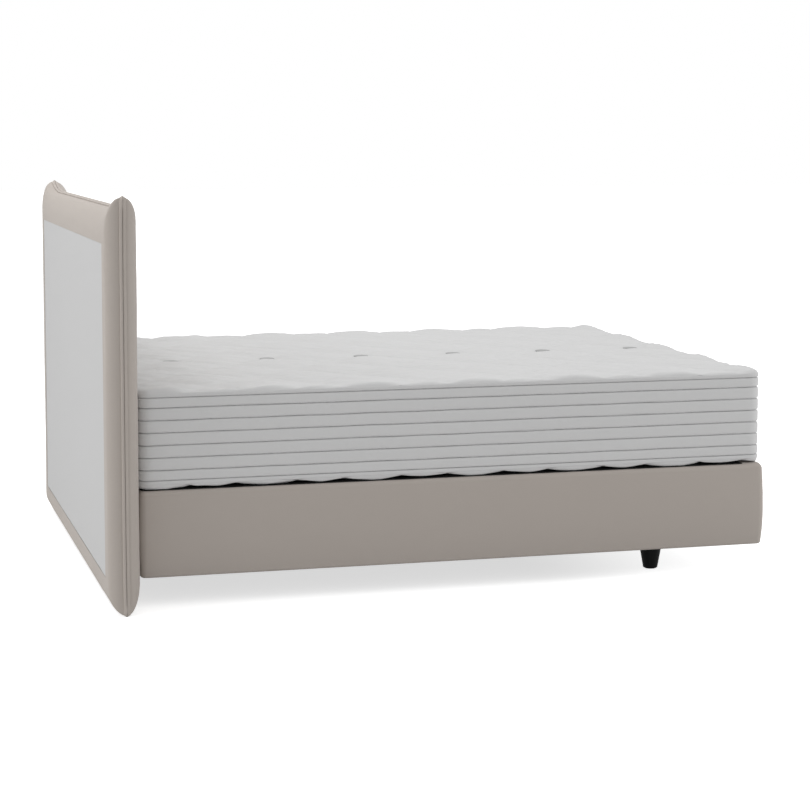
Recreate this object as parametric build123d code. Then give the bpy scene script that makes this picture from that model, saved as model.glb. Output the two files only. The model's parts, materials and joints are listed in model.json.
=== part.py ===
"""Box spring bed: a pillow-shaped headboard, an upholstered box on two legs, and a loose mattress.

Up is +Z and the headboard is at +Y. The origin is on the floor, below the middle of the whole bed.
"""
from build123d import *
import os
from math import atan, ceil, cos, hypot, pi, sin, sqrt

os.makedirs("parts", exist_ok=True)

# Whole bed, in millimetres
mattress_width = 1600
mattress_length = 2000
mattress_height = 300
box_height = 263
box_side_overhang = 10
box_foot_overhang = 13
floor_clearance = 86
headboard_width = 1840
headboard_height = 1222
headboard_front_depth = 50
headboard_back_depth = 50

# Clearances
soft_gap = 0.3
headboard_gap = 0.5
hole_gap = 0.3
overrun = 5

# Mattress
mattress_corner_radius = 40
border_depth = 12
border_bulge = 2.5
middle_channel_height = 37.2
middle_channel_count = 5
end_channel_height = 31
tape_height = 14
panel_inset = 2
panel_edge_radius = 9
quilt_puff = 7.5
quilt_pitch_along = 326.6
quilt_pitch_across = 357
tuft_count = 6
first_tuft_from_foot = 138
tuft_radius = 25
tuft_thickness = 3.5
tuft_sink = 1
tuft_tape_radius = 2
top_foam_height = 60
base_foam_height = 30
mattress_edge_foam_width = 75
mattress_spring_columns = 14
mattress_spring_rows = 18
mattress_spring_gap = 6

# Box
box_corner_radius = 26
box_edge_depth = 24
box_cover_thickness = 2
box_low_draw = 7
box_low_radius = 8
box_high_draw = 5
box_high_radius = 18
widest_height_share = 0.43
rail_height = 130
rail_thickness = 25
beam_size = 60
leg_rail_width = 120
leg_rail_height = 40
corner_block_size = 45
corner_block_height = 110
slat_count = 12
slat_width = 70
slat_height = 15
box_top_foam_height = 20
box_edge_foam_width = 70
box_spring_columns = 12
box_spring_rows = 15
box_spring_gap = 6
dust_cloth_thickness = 1

# Springs and frame screws
spring_waist = 3
pocket_web_thickness = 1.5
rail_screw_radius = 3
rail_screw_head_radius = 6
rail_screw_head_height = 4
rail_screw_length = 70
rail_screw_height_shares = (0.25, 0.75)

# Legs
leg_top_radius = 37.4
leg_bottom_radius = 23.4
leg_bottom_rounding = 4
leg_from_foot = 338
leg_from_side = 140
leg_plate_size = 100
leg_plate_thickness = 3
leg_stud_radius = 4
leg_stud_depth = 30
plate_screw_spread = 38
plate_screw_radius = 2.2
plate_screw_head_radius = 5
plate_screw_head_height = 2.5
plate_screw_length = 25
glide_radius = 18
glide_height = 1.5

# Headboard
ear_reach = 250
high_ear_rise = 34
low_ear_rise = 24
side_reach = 250
side_draw = 12
tip_radius = 6
welt_width = 10
welt_height = 6.5
welt_crown = 4
stand_depth = 0.5
edge_depth = 10
seam_margin = 1
seam_lip = 1
front_side_roll = 80
front_high_roll = 70
front_low_roll = 96
back_side_roll = 52
back_high_roll = 85
back_low_roll = 42
ear_station_shares = (0, 0.35, 0.7, 1)
roll_station_shares = (0, 0.2, 0.4, 0.58, 0.73, 0.85, 0.93, 1)
rim_station_shares = (0, 0.5, 1)
headboard_cover_thickness = 2.5
back_cloth_side_inset = 100
back_cloth_low = 102
back_cloth_top_inset = 140
back_cloth_thickness = 1.5
frame_side_inset = 80
frame_top_inset = 117
frame_low = 95
frame_front = 4
stile_width = 70
top_rail_height = 70
bottom_rail_height = 130
middle_rail_height = 70
middle_rail_share = 0.52
front_board_thickness = 6
front_board_inset = 25
back_board_thickness = 4
stile_screw_length = 110

# Bolts between the headboard and the box
bolt_radius = 4
bolt_head_radius = 6.5
bolt_head_height = 5.5
bolt_washer_radius = 12
bolt_washer_thickness = 2
bolt_recess_depth = 9
bolt_end = 4
nut_radius = 7.5
nut_height = 8
spacer_radius = 8
bolt_from_middle = 500
bolt_height_shares = (0.3, 0.75)

# Places along the bed
overall_length = (
    box_foot_overhang + mattress_length + headboard_gap + headboard_front_depth + headboard_back_depth
)
foot_y = -overall_length / 2
mattress_foot_y = foot_y + box_foot_overhang
mattress_middle_y = mattress_foot_y + mattress_length / 2
front_y = mattress_foot_y + mattress_length + headboard_gap
seam_y = front_y + headboard_front_depth
box_width = mattress_width + 2 * box_side_overhang
box_length = front_y - soft_gap - foot_y
box_middle_y = foot_y + box_length / 2

# Heights
box_top = floor_clearance + box_height
mattress_bottom = box_top + soft_gap
mattress_middle = mattress_bottom + mattress_height / 2
rail_bottom = floor_clearance + box_cover_thickness
rail_top = rail_bottom + rail_height
slat_top = rail_top + slat_height
box_foam_top = box_top - box_cover_thickness
box_foam_bottom = box_foam_top - box_top_foam_height



def tip_angles(rise):
    """Half the angle between the two seam lines that meet in an ear, and the bearing of its middle line."""
    end_slope = 2 * atan(rise / ear_reach)
    side_slope = 2 * atan(side_draw / side_reach)
    return (pi / 2 - end_slope - side_slope) / 2, pi / 4 + (end_slope - side_slope) / 2


def tip_reach(rise, wave):
    """How far the rounded tip and its welt stand out past the point where the seam lines meet."""
    half_angle, bearing = tip_angles(rise)
    return tip_radius + welt_height - tip_radius / sin(half_angle) * wave(bearing)


# Headboard places
seam_half_width = headboard_width / 2 - tip_reach(high_ear_rise, cos)
seam_top = headboard_height - tip_reach(high_ear_rise, sin)
seam_bottom = tip_reach(low_ear_rise, sin) - stand_depth
frame_half_width = headboard_width / 2 - frame_side_inset
frame_high = headboard_height - frame_top_inset
back_cloth_high = headboard_height - back_cloth_top_inset
seam_plane = Plane(origin=(0, seam_y, 0), x_dir=(1, 0, 0), z_dir=(0, -1, 0))
frame_depth = headboard_back_depth - headboard_cover_thickness - back_board_thickness + frame_front

# Each half: its direction from the seam, its depth, and how wide its rolls are at side, top and bottom
front_half = (1, headboard_front_depth, front_side_roll, front_high_roll, front_low_roll)
back_half = (-1, headboard_back_depth, back_side_roll, back_high_roll, back_low_roll)


def arc_drop(reach, drop, run):
    """Fall of a circular arc after a run, where the arc starts level and falls by drop over reach."""
    radius = (reach**2 + drop**2) / (2 * drop)
    return radius - sqrt(radius**2 - run**2)


def closed_face(start, *steps):
    """A flat face. Each step holds its end point, after a point on the way if it is an arc."""
    edges = []
    here = start
    for *through, end in steps:
        edges.append(ThreePointArc(here, *through, end) if through else Line(here, end))
        here = end
    edges.append(Line(here, start))
    return Face(Wire(edges))


def block(size_x, size_y, size_z, x, y, z):
    """A box whose middle is at x and y and that stands on z."""
    return Pos(x, y, z + size_z / 2) * Box(size_x, size_y, size_z)


def slab(width, length, radius, middle_y, low, high):
    """A plate with round corners in plan."""
    return Pos(0, middle_y, low) * extrude(RectangleRounded(width, length, radius), high - low)


def upright(radius, low, high, x, y):
    """A round bar along Z."""
    return Pos(x, y, (low + high) / 2) * Cylinder(radius, high - low)


def bar_along(axis, radius, start, end, a, b):
    """A round bar along X at y and z, or along Y at x and z."""
    middle = (start + end) / 2
    length = end - start
    if axis == "x":
        return Pos(middle, a, b) * Rot(0, 90, 0) * Cylinder(radius, length)
    return Pos(a, middle, b) * Rot(90, 0, 0) * Cylinder(radius, length)


def perimeter(width, length, radius, middle_y):
    """A closed rounded rectangle in plan, started at the middle of its foot side."""
    w, l, r = width / 2, length / 2, radius
    points = [(0, -l), (w - r, -l), (w, r - l), (w, l - r), (w - r, l)]
    points += [(r - w, l), (-w, l - r), (-w, r - l), (r - w, -l), (0, -l)]
    edges = []
    for number, (start, end) in enumerate(zip(points, points[1:])):
        if number % 2:
            edges.append(TangentArc(start, end, tangent=edges[-1] % 1))
        else:
            edges.append(Line(start, end))
    return Pos(0, middle_y, 0) * Wire(edges)


def ring(profile, width, length, radius, middle_y):
    """A side profile carried round a rounded rectangle. Its x points outward and its y is height."""
    start = Plane(origin=(0, middle_y - length / 2, 0), x_dir=(0, -1, 0), z_dir=(-1, 0, 0))
    return sweep(start * profile, path=perimeter(width, length, radius, middle_y))


def cut(shape, tools):
    """Take every tool away from a shape."""
    for tool in tools:
        shape = shape - tool
    return shape


def save(name, *shapes):
    """Write one sub-part, as one solid or as a group of solids."""
    solids = [solid for shape in shapes for solid in shape.solids()]
    export_step(solids[0] if len(solids) == 1 else Compound(solids), f"parts/{name}.step")


# Mattress

def tuft_places():
    """Middle of each tuft along the bed. The row lies on the centre line."""
    first = mattress_foot_y + first_tuft_from_foot
    return [first + number * quilt_pitch_along for number in range(tuft_count)]


def channel_profile(bottom, heights):
    """Sewn channels one above another. Each swells outward between its two seams."""
    steps = []
    z = bottom
    for height in heights:
        steps.append(((0, z + height / 2), (-border_bulge, z + height)))
        z += height
    return closed_face((-border_depth, bottom), ((-border_bulge, bottom),), *steps, ((-border_depth, z),))


def mattress_ring(profile):
    return ring(profile, mattress_width, mattress_length, mattress_corner_radius, mattress_middle_y)


def quilt_ridges(lean, low, high):
    """Long crowned ridges side by side. The valleys between them are the seams of one direction."""
    norm = hypot(quilt_pitch_across, quilt_pitch_along)
    across = Vector(quilt_pitch_along / norm, -lean * quilt_pitch_across / norm, 0)
    spacing = quilt_pitch_along * quilt_pitch_across / norm
    reach = hypot(mattress_width, mattress_length)
    count = ceil(reach / 2 / spacing) + 1
    middle_tuft = tuft_places()[tuft_count // 2]
    edge = count * spacing
    steps = [((-edge, high - quilt_puff),)]
    for number in range(-count, count):
        middle = (number + 0.5) * spacing
        steps.append(((middle, high), (middle + spacing / 2, high - quilt_puff)))
    steps.append(((edge, low - overrun),))
    profile = closed_face((-edge, low - overrun), *steps)
    plane = Plane(origin=(0, middle_tuft, 0), x_dir=across, z_dir=across.cross(Vector(0, 0, 1)))
    return extrude(plane * profile, reach, both=True)


def quilted_panel(low, high):
    """The top panel: a quilt of diamonds with crowned puffs, rolled down at its edges."""
    width = mattress_width - 2 * panel_inset
    length = mattress_length - 2 * panel_inset
    panel = slab(width, length, mattress_corner_radius - panel_inset, mattress_middle_y, low, high)
    panel = fillet(panel.faces().sort_by(Axis.Z)[-1].edges(), panel_edge_radius)
    panel = panel & quilt_ridges(1, low, high) & quilt_ridges(-1, low, high)
    seat = high - quilt_puff - tuft_sink
    pockets = [upright(tuft_radius + hole_gap, seat, high + overrun, 0, y) for y in tuft_places()]
    return cut(panel, pockets + tape_holes(low - overrun, seat + overrun))


def tape_holes(low, high):
    return [upright(tuft_tape_radius + hole_gap, low, high, 0, y) for y in tuft_places()]


def pocket_springs(width, length, middle_y, low, high, columns, rows, gap):
    """Strips of pocketed springs side by side. A strip is a row of barrels joined by its cloth web."""
    pitch_x = width / columns
    pitch_y = length / rows
    radius = (min(pitch_x, pitch_y) - gap) / 2
    end = radius - spring_waist
    profile = closed_face((0, low), ((end, low),), ((radius, (low + high) / 2), (end, high)), ((0, high),))
    barrel = revolve(Plane.XZ * profile, axis=Axis.Z)
    ys = [middle_y + (row + 0.5) * pitch_y - length / 2 for row in range(rows)]
    web = block(pocket_web_thickness, ys[-1] - ys[0], high - low, 0, middle_y, low)
    strip = web + [Pos(0, y, 0) * barrel for y in ys]
    xs = [(column + 0.5) * pitch_x - width / 2 for column in range(columns)]
    return [Pos(x, 0, 0) * strip for x in xs]


def make_mattress():
    panel_low = mattress_middle + channel_half_height + tape_height
    panel_high = mattress_bottom + mattress_height
    mirror_plane = Plane.XY.offset(mattress_middle)
    heights = [middle_channel_height] * middle_channel_count
    heights = [end_channel_height] + heights + [end_channel_height]
    save("mattress_border", mattress_ring(channel_profile(mattress_middle - channel_half_height, heights)))
    tape = mattress_ring(channel_profile(mattress_middle + channel_half_height, [tape_height]))
    save("mattress_top_tape", tape)
    save("mattress_bottom_tape", tape.mirror(mirror_plane))
    panel = quilted_panel(panel_low, panel_high)
    save("mattress_top_panel", panel)
    save("mattress_bottom_panel", panel.mirror(mirror_plane))

    width = mattress_width - 2 * border_depth
    length = mattress_length - 2 * border_depth
    radius = mattress_corner_radius - border_depth
    foam_low = panel_low - mattress_low_drop
    core_low = foam_low + base_foam_height
    core_high = panel_low - top_foam_height
    tapes = tape_holes(foam_low - overrun, panel_low + overrun)
    save("mattress_top_foam", cut(slab(width, length, radius, mattress_middle_y, core_high, panel_low), tapes))
    save("mattress_base_foam", cut(slab(width, length, radius, mattress_middle_y, foam_low, core_low), tapes))
    core_width = width - 2 * mattress_edge_foam_width
    core_length = length - 2 * mattress_edge_foam_width
    frame = slab(width, length, radius, mattress_middle_y, core_low, core_high)
    core = block(core_width, core_length, mattress_height, 0, mattress_middle_y, core_low - overrun)
    save("mattress_edge_foam", frame - core)
    columns, rows = mattress_spring_columns, mattress_spring_rows
    springs = pocket_springs(
        core_width, core_length, mattress_middle_y, core_low, core_high, columns, rows, mattress_spring_gap
    )
    save("mattress_springs", *springs)

    seat = panel_high - quilt_puff - tuft_sink
    discs = [upright(tuft_radius, seat, seat + tuft_thickness, 0, y) for y in tuft_places()]
    save("mattress_tufts", *discs)
    save("mattress_tuft_anchors", *[disc.mirror(mirror_plane) for disc in discs])
    low_seat = 2 * mattress_middle - seat
    save("mattress_tuft_tapes", *[upright(tuft_tape_radius, low_seat, seat, 0, y) for y in tuft_places()])


channel_half_height = (middle_channel_count * middle_channel_height) / 2 + end_channel_height
mattress_low_drop = 2 * (channel_half_height + tape_height)


# Box

def box_side(inset, depth):
    """The box's side profile, drawn in by inset. Its x is 0 at the widest line and its y is height."""
    widest = floor_clearance + widest_height_share * box_height
    low_x = -box_low_draw - box_low_radius
    low_z = floor_clearance + box_low_radius
    high_x = -box_high_draw - box_high_radius
    high_z = box_top - box_high_radius
    low_arc = box_low_radius - inset
    high_arc = box_high_radius - inset
    diagonal = sqrt(0.5)
    low_run = widest - low_z
    high_run = high_z - widest
    low_bend = -inset - arc_drop(low_run, box_low_draw, low_run / 2)
    high_bend = -inset - arc_drop(high_run, box_high_draw, high_run / 2)
    return closed_face(
        (-depth, floor_clearance + inset),
        ((low_x, floor_clearance + inset),),
        ((low_x + low_arc * diagonal, low_z - low_arc * diagonal), (low_x + low_arc, low_z)),
        ((low_bend, low_z + low_run / 2), (-inset, widest)),
        ((high_bend, high_z - high_run / 2), (-inset - box_high_draw, high_z)),
        ((high_x + high_arc * diagonal, high_z + high_arc * diagonal), (high_x, box_top - inset)),
        ((-depth, box_top - inset),),
    )


def box_ring(profile):
    return ring(profile, box_width, box_length, box_corner_radius, box_middle_y)


def bolt_places():
    """Across and up: where bolts go through the box's head rail into the headboard."""
    xs = (-bolt_from_middle, bolt_from_middle)
    return [(x, rail_bottom + share * rail_height) for x in xs for share in bolt_height_shares]


def bolt_holes(radius):
    """Round cutters along all four bolts, from the box's inside to the headboard's back."""
    far = headboard_front_depth + box_edge_depth + 2 * rail_thickness + overrun
    back = seam_y + headboard_back_depth
    return [bar_along("y", radius, seam_y - far, back, x, z) for x, z in bolt_places()]


def leg_places():
    y = foot_y + leg_from_foot
    x = box_width / 2 - leg_from_side
    return [(-x, y), (x, y)]


def plate_screw_places(x, y):
    spread = (-plate_screw_spread, plate_screw_spread)
    return [(x + across, y + along) for across in spread for along in spread]


def leg_fastener_holes(low, high):
    """Cutters for the leg studs and the screws of the leg plates."""
    holes = []
    for x, y in leg_places():
        holes.append(upright(leg_stud_radius + hole_gap, low, high, x, y))
        holes += [upright(plate_screw_radius + hole_gap, low, high, *place) for place in plate_screw_places(x, y)]
    return holes


def make_box_frame():
    half_width = box_width / 2 - box_edge_depth
    low_y = foot_y + box_edge_depth
    high_y = foot_y + box_length - box_edge_depth
    frame_length = high_y - low_y
    inner_width = 2 * (half_width - rail_thickness)
    screw_heights = [rail_bottom + share * rail_height for share in rail_screw_height_shares]
    end_ys = (low_y + rail_thickness / 2, high_y - rail_thickness / 2)

    screws = []
    screw_holes = []
    for side in (-1, 1):
        for y in end_ys:
            for z in screw_heights:
                outer = side * half_width
                head_end = side * (half_width - rail_screw_head_height)
                tip = side * (half_width - rail_screw_length)
                head = bar_along("x", rail_screw_head_radius, *sorted((head_end, outer)), y, z)
                shank = bar_along("x", rail_screw_radius, *sorted((tip, head_end)), y, z)
                screws.append(head + shank)
                wide = rail_screw_head_radius + hole_gap
                screw_holes.append(bar_along("x", wide, *sorted((head_end, outer + side * overrun)), y, z))
                narrow = rail_screw_radius + hole_gap
                screw_holes.append(bar_along("x", narrow, *sorted((tip, head_end)), y, z))
    save("box_rail_screws", *screws)

    corner = box_corner_radius - box_edge_depth
    outline = slab(2 * half_width, frame_length, corner, box_middle_y, rail_bottom, slat_top)
    for side, name in ((-1, "left"), (1, "right")):
        x = side * (half_width - rail_thickness / 2)
        rail = block(rail_thickness, frame_length, rail_height, x, box_middle_y, rail_bottom)
        near = [hole for hole in screw_holes if hole.center().X * side > 0]
        save(f"box_side_rail_{name}", cut(rail & outline, near))
    foot_rail = block(inner_width, rail_thickness, rail_height, 0, end_ys[0], rail_bottom)
    save("box_foot_rail", cut(foot_rail, screw_holes))
    head_rail = block(inner_width, rail_thickness, rail_height, 0, end_ys[1], rail_bottom)
    save("box_head_rail", cut(head_rail, screw_holes + bolt_holes(bolt_radius + hole_gap)))

    block_x = half_width - rail_thickness - corner_block_size / 2
    block_ys = (low_y + rail_thickness + corner_block_size / 2, high_y - rail_thickness - corner_block_size / 2)
    corner_blocks = [
        block(corner_block_size, corner_block_size, corner_block_height, side * block_x, y, rail_bottom)
        for side in (-1, 1)
        for y in block_ys
    ]
    save("box_corner_blocks", *corner_blocks)
    beam_length = frame_length - 2 * rail_thickness
    beam = block(beam_size, beam_length, beam_size, 0, box_middle_y, rail_top - beam_size)
    save("box_centre_beam", beam)
    leg_rail = block(inner_width, leg_rail_width, leg_rail_height, 0, foot_y + leg_from_foot, rail_bottom)
    holes = leg_fastener_holes(rail_bottom - overrun, rail_bottom + leg_stud_depth + hole_gap)
    save("box_leg_rail", cut(leg_rail, holes))

    slat_pitch = (frame_length - slat_width) / (slat_count - 1)
    first_slat = low_y + slat_width / 2
    slats = [
        block(2 * half_width, slat_width, slat_height, 0, first_slat + number * slat_pitch, rail_top) & outline
        for number in range(slat_count)
    ]
    save("box_slats", *slats)


def make_box_upholstery():
    width = box_width - 2 * box_edge_depth
    length = box_length - 2 * box_edge_depth
    depth = box_edge_depth
    cover = box_ring(box_side(0, depth) - box_side(box_cover_thickness, depth + overrun))
    save("box_cover", cut(cover, bolt_holes(spacer_radius + hole_gap)))
    padding = box_ring(box_side(box_cover_thickness, depth))
    save("box_side_padding", cut(padding, bolt_holes(spacer_radius + hole_gap)))
    radius = box_corner_radius - box_edge_depth
    save("box_deck_cloth", slab(width, length, radius, box_middle_y, box_foam_top, box_top))
    save("box_top_foam", slab(width, length, radius, box_middle_y, box_foam_bottom, box_foam_top))
    core_width = width - 2 * box_edge_foam_width
    core_length = length - 2 * box_edge_foam_width
    core_height = box_foam_bottom - slat_top
    edge = slab(width, length, radius, box_middle_y, slat_top, box_foam_bottom)
    core = block(core_width, core_length, core_height + 2 * overrun, 0, box_middle_y, slat_top - overrun)
    save("box_edge_foam", edge - core)
    columns, rows = box_spring_columns, box_spring_rows
    springs = pocket_springs(
        core_width, core_length, box_middle_y, slat_top, box_foam_bottom, columns, rows, box_spring_gap
    )
    save("box_springs", *springs)
    dust_low = rail_bottom - dust_cloth_thickness
    dust = slab(width, length, radius, box_middle_y, dust_low, rail_bottom)
    save("box_dust_cloth", cut(dust, leg_fastener_holes(dust_low - overrun, rail_bottom + overrun)))


def make_legs():
    plate_top = rail_bottom - dust_cloth_thickness
    plate_low = plate_top - leg_plate_thickness
    rounding = leg_bottom_rounding
    diagonal = sqrt(0.5)
    low_x = leg_bottom_radius - rounding
    low_z = glide_height + rounding
    profile = closed_face(
        (0, glide_height),
        ((low_x, glide_height),),
        ((low_x + rounding * diagonal, low_z - rounding * diagonal), (leg_bottom_radius, low_z)),
        ((leg_top_radius, plate_low),),
        ((0, plate_low),),
    )
    socket_low = plate_low - leg_stud_depth
    leg = revolve(Plane.XZ * profile, axis=Axis.Z)
    leg = leg - upright(leg_stud_radius + hole_gap, socket_low, plate_low + overrun, 0, 0)
    stud_top = rail_bottom + leg_stud_depth
    plates, studs, screws, glides = [], [], [], []
    holes = leg_fastener_holes(plate_low - overrun, plate_top + overrun)
    for (x, y), name in zip(leg_places(), ("left", "right")):
        save(f"leg_{name}", Pos(x, y, 0) * leg)
        plate = block(leg_plate_size, leg_plate_size, leg_plate_thickness, x, y, plate_low)
        plates.append(cut(plate, holes))
        studs.append(upright(leg_stud_radius, socket_low, stud_top, x, y))
        glides.append(upright(glide_radius, 0, glide_height, x, y))
        for place in plate_screw_places(x, y):
            head = upright(plate_screw_head_radius, plate_low - plate_screw_head_height, plate_low, *place)
            screws.append(head + upright(plate_screw_radius, plate_low, plate_low + plate_screw_length, *place))
    save("leg_plates", *plates)
    save("leg_studs", *studs)
    save("leg_plate_screws", *screws)
    save("leg_glides", *glides)


# Headboard

def outline_face(inset, radius):
    """The headboard's outline inside the welt, drawn in by inset, flat in the plane of the seam."""
    straight_x = seam_half_width - ear_reach
    side_x = seam_half_width - side_draw - inset
    edges = []
    for sign, seam_z, ear_rise in ((1, seam_top, high_ear_rise), (-1, seam_bottom, low_ear_rise)):
        half_angle, bearing = tip_angles(ear_rise)
        shift = inset / sin(half_angle)
        tip_x = seam_half_width - shift * cos(bearing)
        run = tip_x - straight_x
        tip_z = seam_z - sign * shift * sin(bearing)
        flat_z = seam_z - sign * (ear_rise + inset)
        side_z = seam_z - sign * side_reach
        rise = abs(tip_z - flat_z)
        side_run = abs(tip_z - side_z)
        ear_point = (straight_x + run / 2, flat_z + sign * arc_drop(run, rise, run / 2))
        side_point = (side_x + arc_drop(side_run, tip_x - side_x, side_run / 2), side_z + sign * side_run / 2)
        edges.append(Line((0, flat_z), (straight_x, flat_z)))
        edges.append(ThreePointArc((straight_x, flat_z), ear_point, (tip_x, tip_z)))
        edges.append(ThreePointArc((tip_x, tip_z), side_point, (side_x, side_z)))
    edges.append(Line((side_x, seam_top - side_reach), (side_x, seam_bottom + side_reach)))
    edges += [edge.mirror(Plane.YZ) for edge in edges]
    face = Face(Wire(edges))
    if radius:
        tips = [vertex for vertex in face.vertices() if abs(vertex.X) > tip_x - radius]
        face = face.fillet_2d(radius, tips)
    return face


def pillow_section(half, x, inset, start):
    """A cut across one half of the headboard at x. It is crowned and thins to its top and bottom seams."""
    sign, depth, side_roll, high_roll, low_roll = half
    run = max(0, abs(x) - (seam_half_width - ear_reach))
    high = seam_top - high_ear_rise + arc_drop(ear_reach, high_ear_rise, run) + seam_margin - inset
    low = seam_bottom + low_ear_rise - arc_drop(ear_reach, low_ear_rise, run) - seam_margin + inset
    edge = edge_depth - inset
    room = seam_half_width - side_draw + seam_margin - inset - abs(x)
    swell = depth - edge_depth - seam_lip
    deep = depth - inset - arc_drop(side_roll, swell, min(side_roll, max(0, side_roll - room)))
    high_bend = deep - arc_drop(high_roll, deep - edge, high_roll / 2)
    low_bend = deep - arc_drop(low_roll, deep - edge, low_roll / 2)
    plane = Plane(origin=(x, seam_y, 0), x_dir=(0, -sign, 0), z_dir=(-sign, 0, 0))
    return plane * closed_face(
        (start, low),
        ((edge, low),),
        ((low_bend, low + low_roll / 2), (deep, low + low_roll)),
        ((deep, high - high_roll),),
        ((high_bend, high - high_roll / 2), (edge, high)),
        ((start, high),),
    )


def half_pillow(half, inset, start):
    """One half of the headboard's pillow form, drawn in by inset, from the seam plane outward."""
    straight_x = seam_half_width - ear_reach
    side_roll = half[2]
    side_x = seam_half_width - side_draw + seam_margin - inset
    roll_x = side_x - side_roll
    end_x = seam_half_width + seam_margin
    form = extrude(pillow_section(half, -straight_x, inset, start), 2 * straight_x, dir=(1, 0, 0))
    stations = [
        [straight_x + share * (roll_x - straight_x) for share in ear_station_shares],
        [roll_x + share * side_roll for share in roll_station_shares],
        [side_x + share * (end_x - side_x) for share in rim_station_shares],
    ]
    for side in (-1, 1):
        for xs in stations:
            form = form + loft([pillow_section(half, side * x, inset, start) for x in xs])
    trim = extrude(outline_face(inset, tip_radius - inset), 2 * headboard_front_depth, both=True)
    return form & (seam_plane * trim)


def back_window(low, high):
    """The opening of the back cover that the flat back cloth fills, between two distances behind the seam."""
    width = headboard_width - 2 * back_cloth_side_inset
    height = back_cloth_high - back_cloth_low
    middle_y = seam_y + (low + high) / 2
    return block(width, high - low, height, 0, middle_y, back_cloth_low)


def frame_block(low, high, half_width, low_z, high_z):
    """A block of the headboard frame between two distances behind the seam."""
    middle_y = seam_y + (low + high) / 2
    return block(2 * half_width, high - low, high_z - low_z, 0, middle_y, low_z)


def make_headboard_frame():
    low = -frame_front
    high = frame_depth - frame_front
    inner = frame_half_width - stile_width
    middle_low = frame_low + middle_rail_share * (frame_high - frame_low) - middle_rail_height / 2
    rails = {
        "bottom": (frame_low, frame_low + bottom_rail_height),
        "middle": (middle_low, middle_low + middle_rail_height),
        "top": (frame_high - top_rail_height, frame_high),
    }
    middle_y = seam_y + (low + high) / 2
    screws = []
    screw_holes = []
    for rail_low, rail_high in rails.values():
        for share in rail_screw_height_shares:
            z = rail_low + share * (rail_high - rail_low)
            for side in (-1, 1):
                outer = side * frame_half_width
                head_end = side * (frame_half_width - rail_screw_head_height)
                tip = side * (frame_half_width - stile_screw_length)
                head = bar_along("x", rail_screw_head_radius, *sorted((head_end, outer)), middle_y, z)
                shank = bar_along("x", rail_screw_radius, *sorted((tip, head_end)), middle_y, z)
                screws.append(head + shank)
                wide = rail_screw_head_radius + hole_gap
                hole = bar_along("x", wide, *sorted((head_end, outer + side * overrun)), middle_y, z)
                narrow = rail_screw_radius + hole_gap
                screw_holes += [hole, bar_along("x", narrow, *sorted((tip, head_end)), middle_y, z)]
    save("headboard_screws", *screws)

    for side, name in ((-1, "left"), (1, "right")):
        x = side * (frame_half_width - stile_width / 2)
        stile = block(stile_width, frame_depth, frame_high - frame_low, x, middle_y, frame_low)
        save(f"headboard_stile_{name}", cut(stile, [h for h in screw_holes if h.center().X * side > 0]))
    recess_low = seam_y + high - bolt_recess_depth
    recesses = [
        bar_along("y", bolt_washer_radius + hole_gap, recess_low, seam_y + high + overrun, x, z)
        for x, z in bolt_places()
    ]
    for name, (rail_low, rail_high) in rails.items():
        rail = block(2 * inner, frame_depth, rail_high - rail_low, 0, middle_y, rail_low)
        rail = cut(rail, screw_holes)
        if name == "bottom":
            rail = cut(rail, bolt_holes(bolt_radius + hole_gap) + recesses)
        save(f"headboard_{name}_rail", rail)

    board = extrude(outline_face(front_board_inset, 0), front_board_thickness, dir=(0, 0, 1))
    board = seam_plane * Pos(0, 0, frame_front) * board
    save("headboard_front_board", cut(board, bolt_holes(bolt_radius + hole_gap)))
    board_low = headboard_back_depth - headboard_cover_thickness - back_board_thickness
    save("headboard_back_board", back_window(board_low, board_low + back_board_thickness))
    return board


def make_headboard_upholstery(board):
    skin = headboard_cover_thickness
    frame_high_y = frame_depth - frame_front
    spacer_holes = bolt_holes(spacer_radius + hole_gap)
    front_inner = half_pillow(front_half, skin, -overrun)
    front_cover = half_pillow(front_half, 0, 0) - front_inner
    save("headboard_front_cover", cut(front_cover, spacer_holes))
    frame = frame_block(-frame_front, frame_high_y, frame_half_width, frame_low, frame_high)
    save("headboard_front_foam", cut(half_pillow(front_half, skin, 0) - board - frame, spacer_holes))

    back_inner = half_pillow(back_half, skin, -overrun)
    back_depth = headboard_back_depth
    window = back_window(back_depth - back_board_thickness - 2 * skin, back_depth + overrun)
    save("headboard_back_cover", half_pillow(back_half, 0, 0) - back_inner - window)
    save("headboard_back_foam", half_pillow(back_half, skin, 0) - frame - window)
    cloth_low = back_depth - skin
    save("headboard_back_cloth", back_window(cloth_low, cloth_low + back_cloth_thickness))


def welt(side):
    """A round-topped cord round the whole outline, on one side of the seam."""
    path = (seam_plane * outline_face(0, tip_radius)).outer_wire()
    across = Vector(0, -side, 0)
    start = path.position_at(0)
    along = path.tangent_at(0)
    outward = along.cross(across)
    middle = Vector(0, seam_y, (seam_top + seam_bottom) / 2)
    if outward.dot(start - middle) < 0:
        along = -along
    plane = Plane(origin=start, x_dir=across, z_dir=along)
    wall = welt_height - welt_crown
    profile = closed_face(
        (0, 0), ((0, wall),), ((welt_width / 2, welt_height), (welt_width, wall)), ((welt_width, 0),)
    )
    cord = sweep(plane * profile, path=path)
    floor = block(2 * headboard_width, headboard_height, headboard_height, 0, seam_y, -headboard_height)
    return cord - floor


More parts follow.
